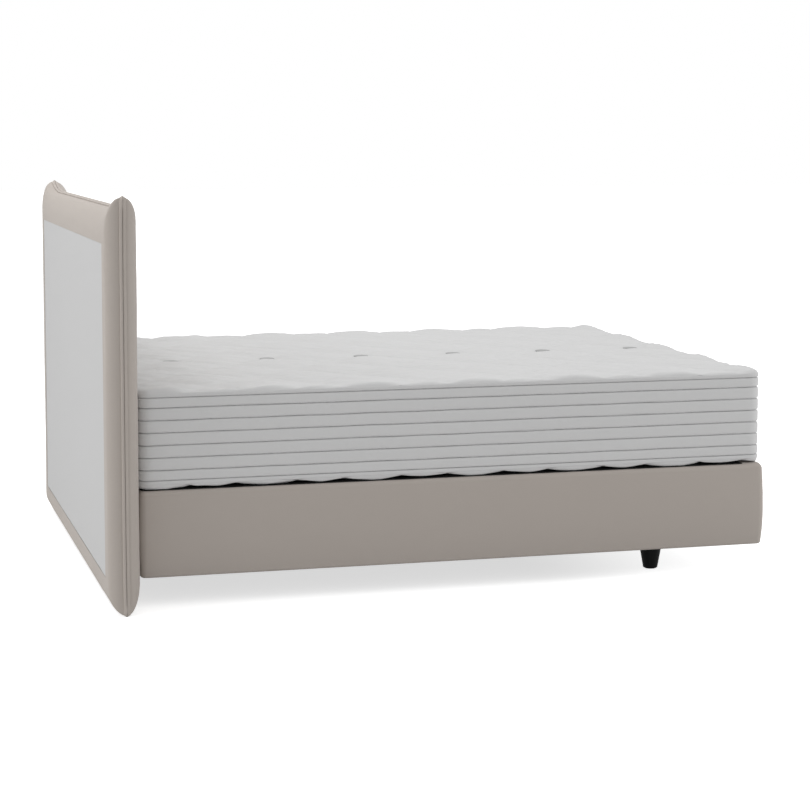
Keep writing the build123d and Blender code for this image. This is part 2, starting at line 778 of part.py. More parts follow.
def make_bolts():
    """Four bolts with washers, spacer tubes and nuts, all along Y."""
    head_y = seam_y + frame_depth - frame_front
    washer_y = head_y - bolt_recess_depth
    board_y = seam_y - frame_front - front_board_thickness
    box_rail_y = front_y - soft_gap - box_edge_depth
    nut_y = box_rail_y - rail_thickness
    bolts, washers, spacers, nuts = [], [], [], []
    for x, z in bolt_places():
        hole = bar_along("y", bolt_radius + hole_gap, nut_y - nut_height - overrun, head_y, x, z)
        washer_end = washer_y + bolt_washer_thickness
        washers.append(bar_along("y", bolt_washer_radius, washer_y, washer_end, x, z) - hole)
        head = bar_along("y", bolt_head_radius, washer_end, washer_end + bolt_head_height, x, z)
        shank = bar_along("y", bolt_radius, nut_y - nut_height - bolt_end, washer_end, x, z)
        bolts.append(head + shank)
        spacers.append(bar_along("y", spacer_radius, box_rail_y, board_y, x, z) - hole)
        hexagon = extrude(RegularPolygon(nut_radius, 6), nut_height)
        nuts.append(Pos(x, nut_y, z) * Rot(90, 0, 0) * hexagon - hole)
    save("headboard_bolts", *bolts)
    save("headboard_washers", *washers)
    save("headboard_spacers", *spacers)
    save("headboard_nuts", *nuts)


make_mattress()
make_box_frame()
make_box_upholstery()
make_legs()
make_headboard_upholstery(make_headboard_frame())
save("headboard_front_welt", welt(1))
save("headboard_back_welt", welt(-1))
make_bolts()
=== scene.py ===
"""Looks of the box spring bed: upholstery, quilting, materials, light and camera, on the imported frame.

Every length is in metres. Up is +Z, the headboard is at +Y and the photographed side is at -X.
"""
import bpy
import json
import math
import numpy as np
from mathutils import Matrix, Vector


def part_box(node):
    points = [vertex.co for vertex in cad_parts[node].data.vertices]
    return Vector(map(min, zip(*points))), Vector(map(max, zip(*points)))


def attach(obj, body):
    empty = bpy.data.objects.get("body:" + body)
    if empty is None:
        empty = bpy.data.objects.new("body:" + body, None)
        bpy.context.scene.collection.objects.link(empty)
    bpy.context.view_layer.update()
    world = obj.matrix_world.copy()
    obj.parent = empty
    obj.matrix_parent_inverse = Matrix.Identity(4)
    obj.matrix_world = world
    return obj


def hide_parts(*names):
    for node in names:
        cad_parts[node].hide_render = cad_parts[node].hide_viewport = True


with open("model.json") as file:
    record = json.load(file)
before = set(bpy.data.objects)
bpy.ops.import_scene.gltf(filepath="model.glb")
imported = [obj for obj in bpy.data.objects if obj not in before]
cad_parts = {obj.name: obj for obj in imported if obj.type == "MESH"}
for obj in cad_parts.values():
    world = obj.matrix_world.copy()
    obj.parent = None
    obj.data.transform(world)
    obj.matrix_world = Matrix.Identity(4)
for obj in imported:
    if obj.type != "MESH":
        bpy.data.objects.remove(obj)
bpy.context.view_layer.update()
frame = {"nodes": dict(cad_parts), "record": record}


# Meshes

FULL_TURN = 2 * math.pi
PLANE_WAVE_COUNT, LOOP_WAVE_COUNT, WAVE_DIVISOR = 7, 6, 4
SHORTEST_WAVE, LONGEST_WAVE = 0.7, 1.6
CORNER_POINTS = 9


def drop(reach, fall, run):
    """Fall of a circular arc after a run. The arc starts level and falls by fall over reach."""
    radius = (reach**2 + fall**2) / (2 * fall)
    return radius - np.sqrt(np.maximum(radius**2 - np.minimum(run, reach)**2, 0))


def fade(distance, reach, power=1):
    """From 1 at distance 0 down to nothing some way past reach."""
    return np.exp(-(distance / reach)**power)


def waves(x, y, wavelength, seed):
    """Smooth unevenness, mostly between -1 and 1 and the same at each run."""
    rng = np.random.default_rng(seed)
    total = np.zeros(np.broadcast(x, y).shape)
    for _ in range(PLANE_WAVE_COUNT):
        angle = rng.uniform(0, FULL_TURN)
        pace = FULL_TURN / (wavelength * rng.uniform(SHORTEST_WAVE, LONGEST_WAVE))
        total += np.sin(pace * (x * math.cos(angle) + y * math.sin(angle)) + rng.uniform(0, FULL_TURN))
    return total / WAVE_DIVISOR


def loop_waves(turn, size, wavelength, seed):
    """Unevenness along a closed rim, where turn goes from 0 to a full turn over size metres."""
    rng = np.random.default_rng(seed)
    count = max(3, int(size / wavelength))
    total = np.zeros(np.shape(turn))
    for _ in range(LOOP_WAVE_COUNT):
        total = total + np.sin(rng.integers(count // 2, 2 * count) * turn + rng.uniform(0, FULL_TURN))
    return total / WAVE_DIVISOR


def even_steps(low, high, step):
    return np.linspace(low, high, max(2, int(round((high - low) / step)) + 1))


def grid_steps(low, high, step, edge_steps):
    """Places from low to high that close up towards both ends as edge_steps say."""
    edge = np.array(edge_steps)
    middle = even_steps(low + edge[-1], high - edge[-1], step)[1:-1]
    return np.concatenate([low + edge, middle, high - edge[::-1]])


def run_lengths(points):
    """Distances along a line of points, from 0 at the first one."""
    return np.concatenate([[0], np.cumsum(np.linalg.norm(np.diff(points, axis=0), axis=1))])


def cell_corners(grid):
    """The four corners of each cell between the rows and columns of a grid, once round."""
    return np.stack([grid[:-1, :-1], grid[:-1, 1:], grid[1:, 1:], grid[1:, :-1]], axis=2)


def piece_from_grid(name, points, uv, wrap=False, keep=None, flip=False):
    """A mesh from rows and columns of points. With wrap, the last column is the first one again."""
    rows, columns = points.shape[:2]
    used = columns - 1 if wrap else columns
    index = np.arange(rows)[:, None] * used + np.arange(columns)[None, :] % used
    corners, uv_corners = cell_corners(index), cell_corners(uv)
    if keep is not None:
        corners, uv_corners = corners[keep], uv_corners[keep]
    corners, uv_corners = corners.reshape(-1, 4), uv_corners.reshape(-1, 4, 2)
    if flip:
        corners, uv_corners = corners[:, ::-1], uv_corners[:, ::-1]
    return new_piece(name, points[:, :used].reshape(-1, 3), corners, uv_corners)


def new_object(name, data):
    obj = bpy.data.objects.new(name, data)
    bpy.context.collection.objects.link(obj)
    return obj


def new_piece(name, vertices, faces, uv_corners):
    """An object with smooth faces and a layer of cloth coordinates in metres."""
    mesh = bpy.data.meshes.new(name)
    mesh.from_pydata(np.asarray(vertices).tolist(), [], np.asarray(faces).tolist())
    layer = mesh.uv_layers.new(name="cloth")
    layer.data.foreach_set("uv", np.ascontiguousarray(uv_corners, dtype=np.float32).ravel())
    mesh.polygons.foreach_set("use_smooth", [True] * len(mesh.polygons))
    mesh.validate()
    return new_object(name, mesh)


def rim_path(low, high, radius, step):
    """Points, outward directions and distances along a rounded rectangle in plan, closed."""
    x0, y0, x1, y1 = low[0], low[1], high[0], high[1]
    corners = [(x1 - radius, y0 + radius, -90), (x1 - radius, y1 - radius, 0),
               (x0 + radius, y1 - radius, 90), (x0 + radius, y0 + radius, 180)]
    points, outward = [], []
    for number, (cx, cy, start) in enumerate(corners):
        for angle in np.radians(np.linspace(start, start + 90, CORNER_POINTS)):
            outward.append((math.cos(angle), math.sin(angle)))
            points.append((cx + radius * math.cos(angle), cy + radius * math.sin(angle)))
        ahead = np.radians(start + 90)
        side = np.array((math.cos(ahead), math.sin(ahead)))
        a = np.array((cx, cy)) + radius * side
        b = np.array(corners[(number + 1) % 4][:2]) + radius * side
        for share in even_steps(0, 1, step / np.linalg.norm(b - a))[1:-1]:
            outward.append(tuple(side))
            points.append(tuple(a + share * (b - a)))
    points, outward = np.array(points + points[:1]), np.array(outward + outward[:1])
    return points, outward, run_lengths(points)


def carried(points, outward, out, up):
    """A grid of points: each row of out and up carried along a flat path."""
    grid = np.empty(out.shape + (3,))
    grid[..., 0] = points[None, :, 0] + outward[None, :, 0] * out
    grid[..., 1] = points[None, :, 1] + outward[None, :, 1] * out
    grid[..., 2] = up
    return grid


def ring_piece(name, low, high, radius, profile, step, wobble):
    """A side profile of (outward, height) pairs carried round a rounded rectangle, made uneven by wobble."""
    points, outward, along = rim_path(low, high, radius, step)
    profile = np.array(profile)
    out = np.broadcast_to(profile[:, :1], (len(profile), len(points)))
    up = np.broadcast_to(profile[:, 1:], (len(profile), len(points)))
    out, up = wobble(out, up, along[None, :] * FULL_TURN / along[-1], along[-1])
    uv = np.stack(np.broadcast_arrays(along[None, :], run_lengths(profile)[:, None]), -1)
    return piece_from_grid(name, carried(points, outward, out, up), uv, wrap=True)


# Mattress

MATTRESS_LOW, MATTRESS_HIGH = 0.3493, 0.6493
MATTRESS_MIDDLE = (MATTRESS_LOW + MATTRESS_HIGH) / 2
MATTRESS_CORNER = 0.040

END_CHANNEL, MIDDLE_CHANNEL, MIDDLE_CHANNEL_COUNT = 0.031, 0.0372, 5
CHANNEL_BULGE, CHANNEL_FLATNESS = 0.0026, 6
CHANNEL_SHARES = (0.0, 0.01, 0.022, 0.038, 0.06, 0.1, 0.17, 0.27, 0.39, 0.5)
SEAM_DEPTH, SEAM_WIDTH, SEAM_SHARPNESS = 0.0050, 0.0013, 1.4
SIDE_TUCK = 0.0005
SIDE_STEP = 0.012
SEAM_WANDER, SEAM_WANDER_LENGTH, SEAM_WANDER_SEED = 0.0007, 0.35, 40
SEAM_MATCH, END_SEAM_CALM = 0.001, 0.004
SIDE_UNEVENNESS = 0.10
# Unevenness of the side as (slant, wavelength, seed)
SIDE_WAVES = ((9, 0.09, 7), (-5, 0.3, 8))

TAPE_HEIGHT, TAPE_BULGE, TAPE_FLATNESS = 0.014, 0.0016, 4
TAPE_POINTS, TAPE_STEP = 11, 0.010
TAPE_SEAM_DEPTH, TAPE_SEAM_WIDTH = 0.0022, 0.0011
TAPE_BACK, TAPE_TUCK = 0.009, 0.0002
TAPE_UNEVENNESS, TAPE_WAVE, TAPE_SEED = 0.08, 0.05, 21

PANEL_INSET = 0.0012
PANEL_STEP = 0.0072
PANEL_EDGE_STEPS = (0, 0.0006, 0.0018, 0.0035, 0.006, 0.009, 0.013, 0.018)
QUILT_ALONG, QUILT_ACROSS = 0.1633, 0.1785
QUILT_PUFF, RIM_PUFF, RIM_PUFF_REACH = 0.0085, 0.0030, 0.09
PUFF_UNEVENNESS, PUFF_WAVE = 0.05, 0.5
SCALLOP_STEEPNESS, PUCKER_STEEPNESS = 1.5, 4
RIM_RIPPLE, RIM_RIPPLE_WAVE = 0.0010, 0.06
# Puckers as (size, wavelength, share of it that counts along the bed)
PUCKERS = ((0.0016, 0.032, 0.4), (0.0014, 0.14, 0.6))
HEAD_WRINKLES, HEAD_WRINKLES_FROM, HEAD_WRINKLES_REACH = 1.3, 0.1, 0.8
RIM_WAVE_MIDDLE, RIM_WAVE_REACH = 0.25, 0.060
TOP_FORM = {"roll": 0.016, "scallop": 0.0055, "swell_power": 0.58, "hang": 1.0, "headroom": 0.0012,
            "rim_wave": 0.0045}
BOTTOM_FORM = {"roll": 0.008, "scallop": 0.0030, "swell_power": 0.85, "hang": 1.5, "headroom": 0.0,
               "rim_wave": 0.0}

TUFT_COUNT, TUFT_RADIUS, TUFT_POINTS = 6, 0.025, 49
TUFT_RISE = 0.0002
TUFT_RADII = (0, 0.0015, 0.003, 0.0055, 0.009, 0.014, 0.019, 0.0225, 0.0243, 0.025, 0.0246, 0.0235)
TUFT_HEIGHTS = (-0.0016, -0.0013, -0.0006, 0.0004, 0.0010, 0.0013, 0.0013, 0.0009, 0.0002, -0.0010, -0.0022,
                -0.0030)
TUFT_RIM_WAVES = ((0.012, 3, 1.0), (0.008, 7, 2.1))
TUFT_TUCK, TUFT_TUCK_COUNT = 0.00035, 8
TUFT_DIP, TUFT_DIP_REACH, TUFT_DIP_POWER = 0.0022, 0.034, 4
CREASE_DEPTH, CREASE_WIDTH, CREASE_LENGTH = 0.0060, 0.018, 0.052


def channel_heights():
    """Heights of the seams on the mattress side, from the lowest to the highest."""
    heights = [END_CHANNEL] + [MIDDLE_CHANNEL] * MIDDLE_CHANNEL_COUNT + [END_CHANNEL]
    return MATTRESS_MIDDLE - sum(heights) / 2 + np.concatenate([[0], np.cumsum(heights)])


def channel_profile(seams):
    """The side in section. Each channel is nearly flat and turns in sharply at its seams."""
    shares = CHANNEL_SHARES + tuple(1 - share for share in CHANNEL_SHARES[-2::-1])
    profile = [(-PANEL_INSET - SEAM_DEPTH, seams[0] - SIDE_TUCK)]
    for low, high in zip(seams, seams[1:]):
        for share in shares[:-1] if high < seams[-1] else shares:
            z = low + share * (high - low)
            fold = SEAM_DEPTH * fade(min(z - low, high - z), SEAM_WIDTH, SEAM_SHARPNESS)
            profile.append((-CHANNEL_BULGE * abs(2 * share - 1)**CHANNEL_FLATNESS - fold, z))
    return profile


def make_mattress_side():
    """Seven sewn channels, whose seams wander a little up and down."""
    seams = channel_heights()

    def wobble(out, up, turn, size):
        number = np.searchsorted(seams, up - SEAM_MATCH)
        lift = sum((number == seam) * loop_waves(turn, size, SEAM_WANDER_LENGTH, SEAM_WANDER_SEED + seam)
                   for seam in range(len(seams) + 1))
        inner = (up > seams[0] + END_SEAM_CALM) & (up < seams[-1] - END_SEAM_CALM)
        bulges = sum(loop_waves(turn + up * slant, size, length, seed) for slant, length, seed in SIDE_WAVES)
        return out * (1 + SIDE_UNEVENNESS * bulges), up + SEAM_WANDER * lift * inner

    low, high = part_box("mattress_border")
    return ring_piece("mattress_side", low, high, MATTRESS_CORNER, channel_profile(seams), SIDE_STEP, wobble)


def make_tape(name, low_z):
    """The narrow sewn roll between the side and a quilted panel."""
    profile = [(-TAPE_BACK, low_z + TAPE_TUCK)]
    for share in np.linspace(0, 1, TAPE_POINTS):
        fold = TAPE_SEAM_DEPTH * fade(min(share, 1 - share) * TAPE_HEIGHT, TAPE_SEAM_WIDTH)
        profile.append((-TAPE_BULGE * abs(2 * share - 1)**TAPE_FLATNESS - fold, low_z + share * TAPE_HEIGHT))
    profile.append((-TAPE_BACK, low_z + TAPE_HEIGHT - TAPE_TUCK))

    def wobble(out, up, turn, size):
        return out * (1 + TAPE_UNEVENNESS * loop_waves(turn, size, TAPE_WAVE, TAPE_SEED)), up

    low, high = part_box("mattress_border")
    return ring_piece(name, low, high, MATTRESS_CORNER, profile, TAPE_STEP, wobble)


def tuft_places(first_tuft_y):
    """Middle of each tuft along the bed. A tuft sits at every second crossing of the quilting seams."""
    return [first_tuft_y + number * 2 * QUILT_ALONG for number in range(TUFT_COUNT)]


def quilt_swell(x, y, first_tuft_y, power):
    """Height of the quilt over its seams, from 0 at a seam to 1 in the middle of a puff."""
    along = (y - first_tuft_y) / QUILT_ALONG
    across = x / QUILT_ACROSS
    swell = np.abs(np.sin(math.pi * (across + along) / 2)) * np.abs(np.sin(math.pi * (across - along) / 2))
    return swell**power


def panel_grid(half_x, half_y, radius):
    """Places over a rounded rectangle, and how far each one lies inside the rim, counted up to radius."""
    x, y = np.meshgrid(grid_steps(-half_x, half_x, PANEL_STEP, PANEL_EDGE_STEPS),
                       grid_steps(-half_y, half_y, PANEL_STEP, PANEL_EDGE_STEPS))
    corner_u = np.clip((np.abs(x) - (half_x - radius)) / radius, 0, 1)
    corner_v = np.clip((np.abs(y) - (half_y - radius)) / radius, 0, 1)
    rounded_x = np.sign(x) * (half_x - radius + radius * corner_u * np.sqrt(1 - corner_v**2 / 2))
    rounded_y = np.sign(y) * (half_y - radius + radius * corner_v * np.sqrt(1 - corner_u**2 / 2))
    x, y = np.where(corner_u > 0, rounded_x, x), np.where(corner_v > 0, rounded_y, y)
    beyond_x = np.maximum(np.abs(x) - (half_x - radius), 0)
    beyond_y = np.maximum(np.abs(y) - (half_y - radius), 0)
    return x, y, np.maximum(radius - np.hypot(beyond_x, beyond_y), 0)


def make_panel(name, up, form, low, high, first_tuft_y, seed):
    """A quilted panel with crowned diamonds, rolled down at its rim. up is 1 on top and -1 below."""
    half_x, half_y = (high[0] - low[0]) / 2 - PANEL_INSET, (high[1] - low[1]) / 2 - PANEL_INSET
    x, y, inside = panel_grid(half_x, half_y, MATTRESS_CORNER - PANEL_INSET)
    from_side, from_end = half_x - np.abs(x), half_y - np.abs(y)
    y = y + (low[1] + high[1]) / 2

    swell = quilt_swell(x, y, first_tuft_y, form["swell_power"])
    scallop = form["scallop"] * np.clip(SCALLOP_STEEPNESS * swell, 0, 1)
    rim = channel_heights()[-1] + TAPE_HEIGHT - scallop + RIM_RIPPLE * waves(x, y, RIM_RIPPLE_WAVE, seed + 3)

    puff = QUILT_PUFF + RIM_PUFF * fade(np.minimum(from_side, from_end), RIM_PUFF_REACH)
    puckers = sum(size * waves(x, y * stretch, length, seed + number)
                  for number, (size, length, stretch) in enumerate(PUCKERS))
    puckers *= 1 + HEAD_WRINKLES * np.clip((y - HEAD_WRINKLES_FROM) / HEAD_WRINKLES_REACH, 0, 1)**2
    crown = form["hang"] * swell * (1 + PUFF_UNEVENNESS * waves(x, y, PUFF_WAVE, seed + 2))
    level = MATTRESS_HIGH - puff + puff * crown + puckers * np.clip(PUCKER_STEEPNESS * swell, 0, 1)
    level = np.minimum(level, MATTRESS_HIGH + form["headroom"])

    long_wave = 0.5 - 0.5 * np.cos(math.pi * (y - first_tuft_y) / QUILT_ALONG)
    level += form["rim_wave"] * (long_wave - RIM_WAVE_MIDDLE) * fade(from_side, RIM_WAVE_REACH)
    for tuft_y in tuft_places(first_tuft_y):
        level -= TUFT_DIP * fade(np.hypot(x, y - tuft_y), TUFT_DIP_REACH, TUFT_DIP_POWER)
        level -= CREASE_DEPTH * fade(x, CREASE_WIDTH, 2) * fade(y - tuft_y, CREASE_LENGTH, 2)

    roll = np.sqrt(np.maximum(1 - np.maximum(1 - inside / form["roll"], 0)**2, 0))
    z = MATTRESS_MIDDLE + up * (rim + (level - rim) * roll - MATTRESS_MIDDLE)
    return piece_from_grid(name, np.stack([x, y, z], -1), np.stack([x, y], -1), flip=up < 0)


def make_tufts(name, up, first_tuft_y, level):
    """Felt discs with a stitched dimple, each pulled into a crossing of the quilting seams."""
    radii, heights = np.array(TUFT_RADII), np.array(TUFT_HEIGHTS)
    angles = np.linspace(0, FULL_TURN, TUFT_POINTS)
    rows, columns = len(radii), TUFT_POINTS - 1
    vertices, faces = [], []
    for number, tuft_y in enumerate(tuft_places(first_tuft_y)):
        rim = 1 + sum(size * np.sin(count * angles + pace * number) for size, count, pace in TUFT_RIM_WAVES)
        tuck = TUFT_TUCK * np.cos(TUFT_TUCK_COUNT * angles + number)
        x = np.outer(radii, np.cos(angles)) * rim
        y = np.outer(radii, np.sin(angles)) * rim
        z = heights[:, None] + np.outer(np.sin(math.pi * np.minimum(radii / TUFT_RADIUS, 1)), tuck)
        grid = np.stack([x, y + tuft_y, level + up * z], -1)
        around = np.arange(columns + 1)[None, :] % columns
        index = number * rows * columns + np.arange(rows)[:, None] * columns + around
        quads = cell_corners(index).reshape(-1, 4)
        faces.append(quads[:, ::-1] if up > 0 else quads)
        vertices.append(grid[:, :columns].reshape(-1, 3))
    vertices, faces = np.concatenate(vertices), np.concatenate(faces)
    return new_piece(name, vertices, faces, vertices[faces][..., :2])


# Box

BOX_LOW, BOX_HIGH = 0.086, 0.349
BOX_CORNER, BOX_STEP = 0.026, 0.015
BOX_TURN_IN, BOX_TOP_LAP = 0.024, 0.004
BOX_LOW_DRAW, BOX_LOW_RADIUS, BOX_LOW_FLAT = 0.007, 0.008, 0.002
BOX_HIGH_DRAW, BOX_HIGH_RADIUS = 0.005, 0.018
BOX_LOW_TUCK, BOX_HIGH_TUCK = 0.0004, 0.0002
BOX_WIDEST = BOX_LOW + 0.43 * (BOX_HIGH - BOX_LOW)
LOW_EDGE_POINTS, LOW_SIDE_POINTS, HIGH_SIDE_POINTS, HIGH_EDGE_POINTS = 7, 9, 14, 9
BOX_DENT, BOX_PULL_IN = 0.0006, 0.0004
# Dents of the box sides as (share, slant, wavelength, seed)
BOX_DENTS = ((1, 1, 0.5, 3), (0.5, -2, 0.16, 4))
FOOT_ROUNDING, FOOT_ROUNDING_REACH = 0.008, 0.026
# Near the foot end the black deck cloth is pulled back and the cover laps further over it. The black there is
# partly painted shade for the gap under the mattress, so it stops where that gap is lit.
DECK_FOOT_SHIFT, COVER_FOOT_SHIFT, FOOT_BLEND = 0.062, 0.072, 0.300

# The deck cloth's edge lies just inside the box's rim, right under the mattress's side. Its black there is
# partly the cloth and partly painted shade for the gap.
DECK_INSET, DECK_STEP = 0.0125, 0.02
# Rings of the deck cloth from its edge inwards: outward place, height over the box, share of the edge's folds
DECK_RINGS = ((-DECK_INSET, -0.0016, 1.0), (-0.015, -0.0006, 0.8), (-0.019, 0.0001, 0.5),
              (-0.022, 0.0002, 0.0), (-0.025, 0.00025, 0.0))
DECK_INNER_SHARES = (0.9, 0.75, 0.5, 0.25, 0.02)
DECK_FOLD, DECK_FOLD_WAVE, DECK_FOLD_SEED = 0.0006, 0.12, 15

DUST_STEP, DUST_CALM = 0.03, 0.2
DUST_RISE, DUST_UNEVENNESS, DUST_WAVE, DUST_SEED = 0.0002, 0.0003, 0.15, 5


def rounded_edge(centre_out, centre_up, radius, start, end, count):
    """Points on a quarter circle in section, between two angles in degrees."""
    angles = np.radians(np.linspace(start, end, count))
    return [(centre_out + radius * math.cos(angle), centre_up + radius * math.sin(angle)) for angle in angles]


def box_profile():
    """The cover's side from its turned-in lower edge round to the deck. It is widest at BOX_WIDEST."""
    low_z, high_z = BOX_LOW + BOX_LOW_RADIUS, BOX_HIGH - BOX_HIGH_RADIUS
    low_out, high_out = -BOX_LOW_DRAW - BOX_LOW_RADIUS, -BOX_HIGH_DRAW - BOX_HIGH_RADIUS
    profile = [(-BOX_TURN_IN, BOX_LOW + BOX_LOW_TUCK), (low_out - BOX_LOW_FLAT, BOX_LOW)]
    profile += rounded_edge(low_out, low_z, BOX_LOW_RADIUS, -90, 0, LOW_EDGE_POINTS)
    for z in np.linspace(low_z, BOX_WIDEST, LOW_SIDE_POINTS)[1:]:
        profile.append((-float(drop(BOX_WIDEST - low_z, BOX_LOW_DRAW, BOX_WIDEST - z)), z))
    for z in np.linspace(BOX_WIDEST, high_z, HIGH_SIDE_POINTS)[1:]:
        profile.append((-float(drop(high_z - BOX_WIDEST, BOX_HIGH_DRAW, z - BOX_WIDEST)), z))
    profile += rounded_edge(high_out, high_z, BOX_HIGH_RADIUS, 0, 90, HIGH_EDGE_POINTS)[1:]
    profile.append((-BOX_TURN_IN - BOX_TOP_LAP, BOX_HIGH - BOX_HIGH_TUCK))
    return profile


def foot_shift(y, foot_y, shift):
    """Moves what lies near the box's foot end inwards, less and less up to FOOT_BLEND from the end."""
    return y + shift * np.clip(1 - (y - foot_y) / FOOT_BLEND, 0, 1)


def make_box_cover():
    """The cover, whose top edge is rounder at the foot end and laps further over the deck there."""
    def wobble(out, up, turn, size):
        middle = np.sin(math.pi * np.clip((up - BOX_LOW) / (BOX_HIGH - BOX_LOW), 0, 1))
        dents = sum(share * loop_waves(turn + slant * up, size, length, seed)
                    for share, slant, length, seed in BOX_DENTS)
        return out + BOX_DENT * middle * dents - BOX_PULL_IN, up

    low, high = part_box("box_cover")
    profile = box_profile()
    obj = ring_piece("box_side", low, high, BOX_CORNER, profile, BOX_STEP, wobble)
    last_ring = len(obj.data.vertices) * (len(profile) - 1) // len(profile)
    rounding_height = 2 * FOOT_ROUNDING_REACH
    for vertex in obj.data.vertices:
        rise = max(0.0, 1 - (BOX_HIGH - vertex.co.z) / rounding_height)
        lean = max(0.0, 1 - (vertex.co.y - low[1]) / FOOT_ROUNDING_REACH)
        vertex.co.z -= FOOT_ROUNDING * lean**2 * rise**2
    for vertex in obj.data.vertices[last_ring:]:
        vertex.co.y = foot_shift(vertex.co.y, low[1], COVER_FOOT_SHIFT)
    return obj


def make_deck_cloth():
    """The black cloth over the box, folded down a little over the top of the cover's rounded edge. Where it
    shows in the gap under the mattress, its black is partly the cloth and partly painted shade for that gap.
    """
    low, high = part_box("box_cover")
    points, outward, along = rim_path(low, high, BOX_CORNER, DECK_STEP)
    rings = np.array(DECK_RINGS)
    folds = DECK_FOLD * loop_waves(along * FULL_TURN / along[-1], along[-1], DECK_FOLD_WAVE, DECK_FOLD_SEED)
    grid = carried(points, outward, rings[:, :1] + folds[None, :] * rings[:, 2:], BOX_HIGH + rings[:, 1:2])
    grid[..., 1] = foot_shift(grid[..., 1], low[1], DECK_FOOT_SHIFT)
    rim = grid[-1]
    centre = rim[:-1].mean(0)
    inner = centre + (rim - centre)[None] * np.array(DECK_INNER_SHARES)[:, None, None]
    grid = np.concatenate([grid, inner])
    return piece_from_grid("deck_cloth", grid, grid[..., :2], wrap=True)


def make_dust_cloth():
    """The black cloth stapled under the box, a little uneven away from its edges."""
    low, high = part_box("box_dust_cloth")
    x, y = np.meshgrid(even_steps(low[0], high[0], DUST_STEP), even_steps(low[1], high[1], DUST_STEP))
    from_end = (high[1] - low[1]) / 2 - np.abs(y - (high[1] + low[1]) / 2)
    share = np.minimum(high[0] - np.abs(x), from_end) / DUST_CALM
    z = low[2] + DUST_RISE + DUST_UNEVENNESS * waves(x, y, DUST_WAVE, DUST_SEED) * np.clip(share, 0, 1)
    return piece_from_grid("dust_cloth", np.stack([x, y, z], -1), np.stack([x, y], -1), flip=True)


# Headboard

SEAM_Y = 1.00675
HEADBOARD_HALF_WIDTH, HEADBOARD_HEIGHT = 0.920, 1.222
EAR_REACH, HIGH_EAR_RISE, LOW_EAR_RISE = 0.250, 0.034, 0.024
SIDE_REACH, SIDE_DRAW = 0.250, 0.012
TIP_RADIUS, STAND_DEPTH = 0.006, 0.0005
HALF_DEPTH, DEPTH_HEADROOM = 0.050, 0.0012
EDGE_DEPTH, SEAM_LINE_DEPTH, SEAM_LINE_WIDTH = 0.0098, 0.001, 0.0001
CORNER_POWER = 3.0
# Rolls as (reach, power), for the side seams, the top seam and the bottom seam
FRONT_ROLLS = ((0.092, 2.0), (0.078, 2.1), (0.095, 2.0))
BACK_ROLLS = ((0.036, 2.4), (0.095, 2.1), (0.042, 3.2))
# What the bottom seam's roll turns into at a lower ear, and where along the seam that starts
FRONT_LOW_EAR_ROLL, BACK_LOW_EAR_ROLL = (0.095, 1.9), (0.062, 1.6)
LOW_EAR_START = 0.700

HEADBOARD_STEP = 0.0125
HEADBOARD_EDGE_STEPS = (0, 0.0002, 0.0010, 0.0022, 0.0038, 0.006, 0.009, 0.013, 0.018, 0.024, 0.031, 0.039,
                        0.049, 0.061, 0.074)
SEAM_PUCKER, SEAM_PUCKER_WAVE, SEAM_PUCKER_STRETCH = 0.0006, 0.028, 0.2
SEAM_PUCKER_REACH, SEAM_PUCKER_START = 0.022, 0.004
FACE_CALM = 0.06
# Dents of the headboard's faces as (size, wavelength)
FACE_DENTS = ((0.0009, 0.45), (0.0003, 0.11))

WINDOW_HALF_WIDTH, WINDOW_LOW, WINDOW_HIGH = 0.820, 0.102, 1.082
WINDOW_SNAP, WINDOW_FLATTENING = 0.004, 0.02
BACK_CLOTH_STEP, BACK_CLOTH_EDGE_STEPS = 0.02, (0, 0.0008, 0.0025, 0.006, 0.012)
BACK_CLOTH_SINK, BACK_CLOTH_FOLD, BACK_CLOTH_FOLD_WIDTH = 0.0003, 0.0005, 0.0008
BACK_CLOTH_UNEVENNESS, BACK_CLOTH_WAVE, BACK_CLOTH_SEED = 0.0002, 0.3, 61

WELT_WIDTH, WELT_HEIGHT, WELT_STEP = 0.010, 0.0065, 0.012
WELT_TIP_STEPS, WELT_TIP_START, WELT_TIP_POINTS = (0.024, 0.018, 0.012), 0.03, 15
WELT_ARC, WELT_ARC_POINTS, WELT_UV_WIDTH = (-52, 232), 25, 0.024
WELT_GAP, WELT_ROUNDNESS = 0.0002, 0.62
WELT_UNEVENNESS, WELT_WAVE, WELT_SEED = 0.03, 0.03, 31
NUB_HEIGHT, NUB_WIDTH, NUB_POWER = 1.1, 0.94, 1.5
NUB_START, NUB_REACH = 1.5, 0.028


def tip_angles(rise):
    """The slopes of an ear's two seam lines, half their angle and the bearing of its middle line."""
    end_slope = 2 * math.atan(rise / EAR_REACH)
    side_slope = 2 * math.atan(SIDE_DRAW / SIDE_REACH)
    half_angle = (math.pi / 2 - end_slope - side_slope) / 2
    return end_slope, side_slope, half_angle, math.pi / 4 + (end_slope - side_slope) / 2


def tip_reach(rise, wave):
    """How far the rounded tip and its welt stand out past the point where the seam lines meet."""
    _, _, half_angle, bearing = tip_angles(rise)
    return TIP_RADIUS + WELT_HEIGHT - TIP_RADIUS / math.sin(half_angle) * wave(bearing)


seam_half_width = HEADBOARD_HALF_WIDTH - tip_reach(HIGH_EAR_RISE, math.cos)
seam_high = HEADBOARD_HEIGHT - tip_reach(HIGH_EAR_RISE, math.sin)
seam_low = tip_reach(LOW_EAR_RISE, math.sin) - STAND_DEPTH
seam_middle = (seam_high + seam_low) / 2


def ear_drop(x, rise):
    """How far the outline lies inside its tips at x, along a top or bottom edge whose ears rise by rise."""
    return rise - drop(EAR_REACH, rise, np.maximum(0, np.abs(x) - (seam_half_width - EAR_REACH)))


def side_lift(z):
    """How far the outline has moved out towards an ear at z."""
    run = np.abs(z - seam_middle) - (seam_high - seam_middle - SIDE_REACH)
    return drop(SIDE_REACH, SIDE_DRAW, np.maximum(0, run))


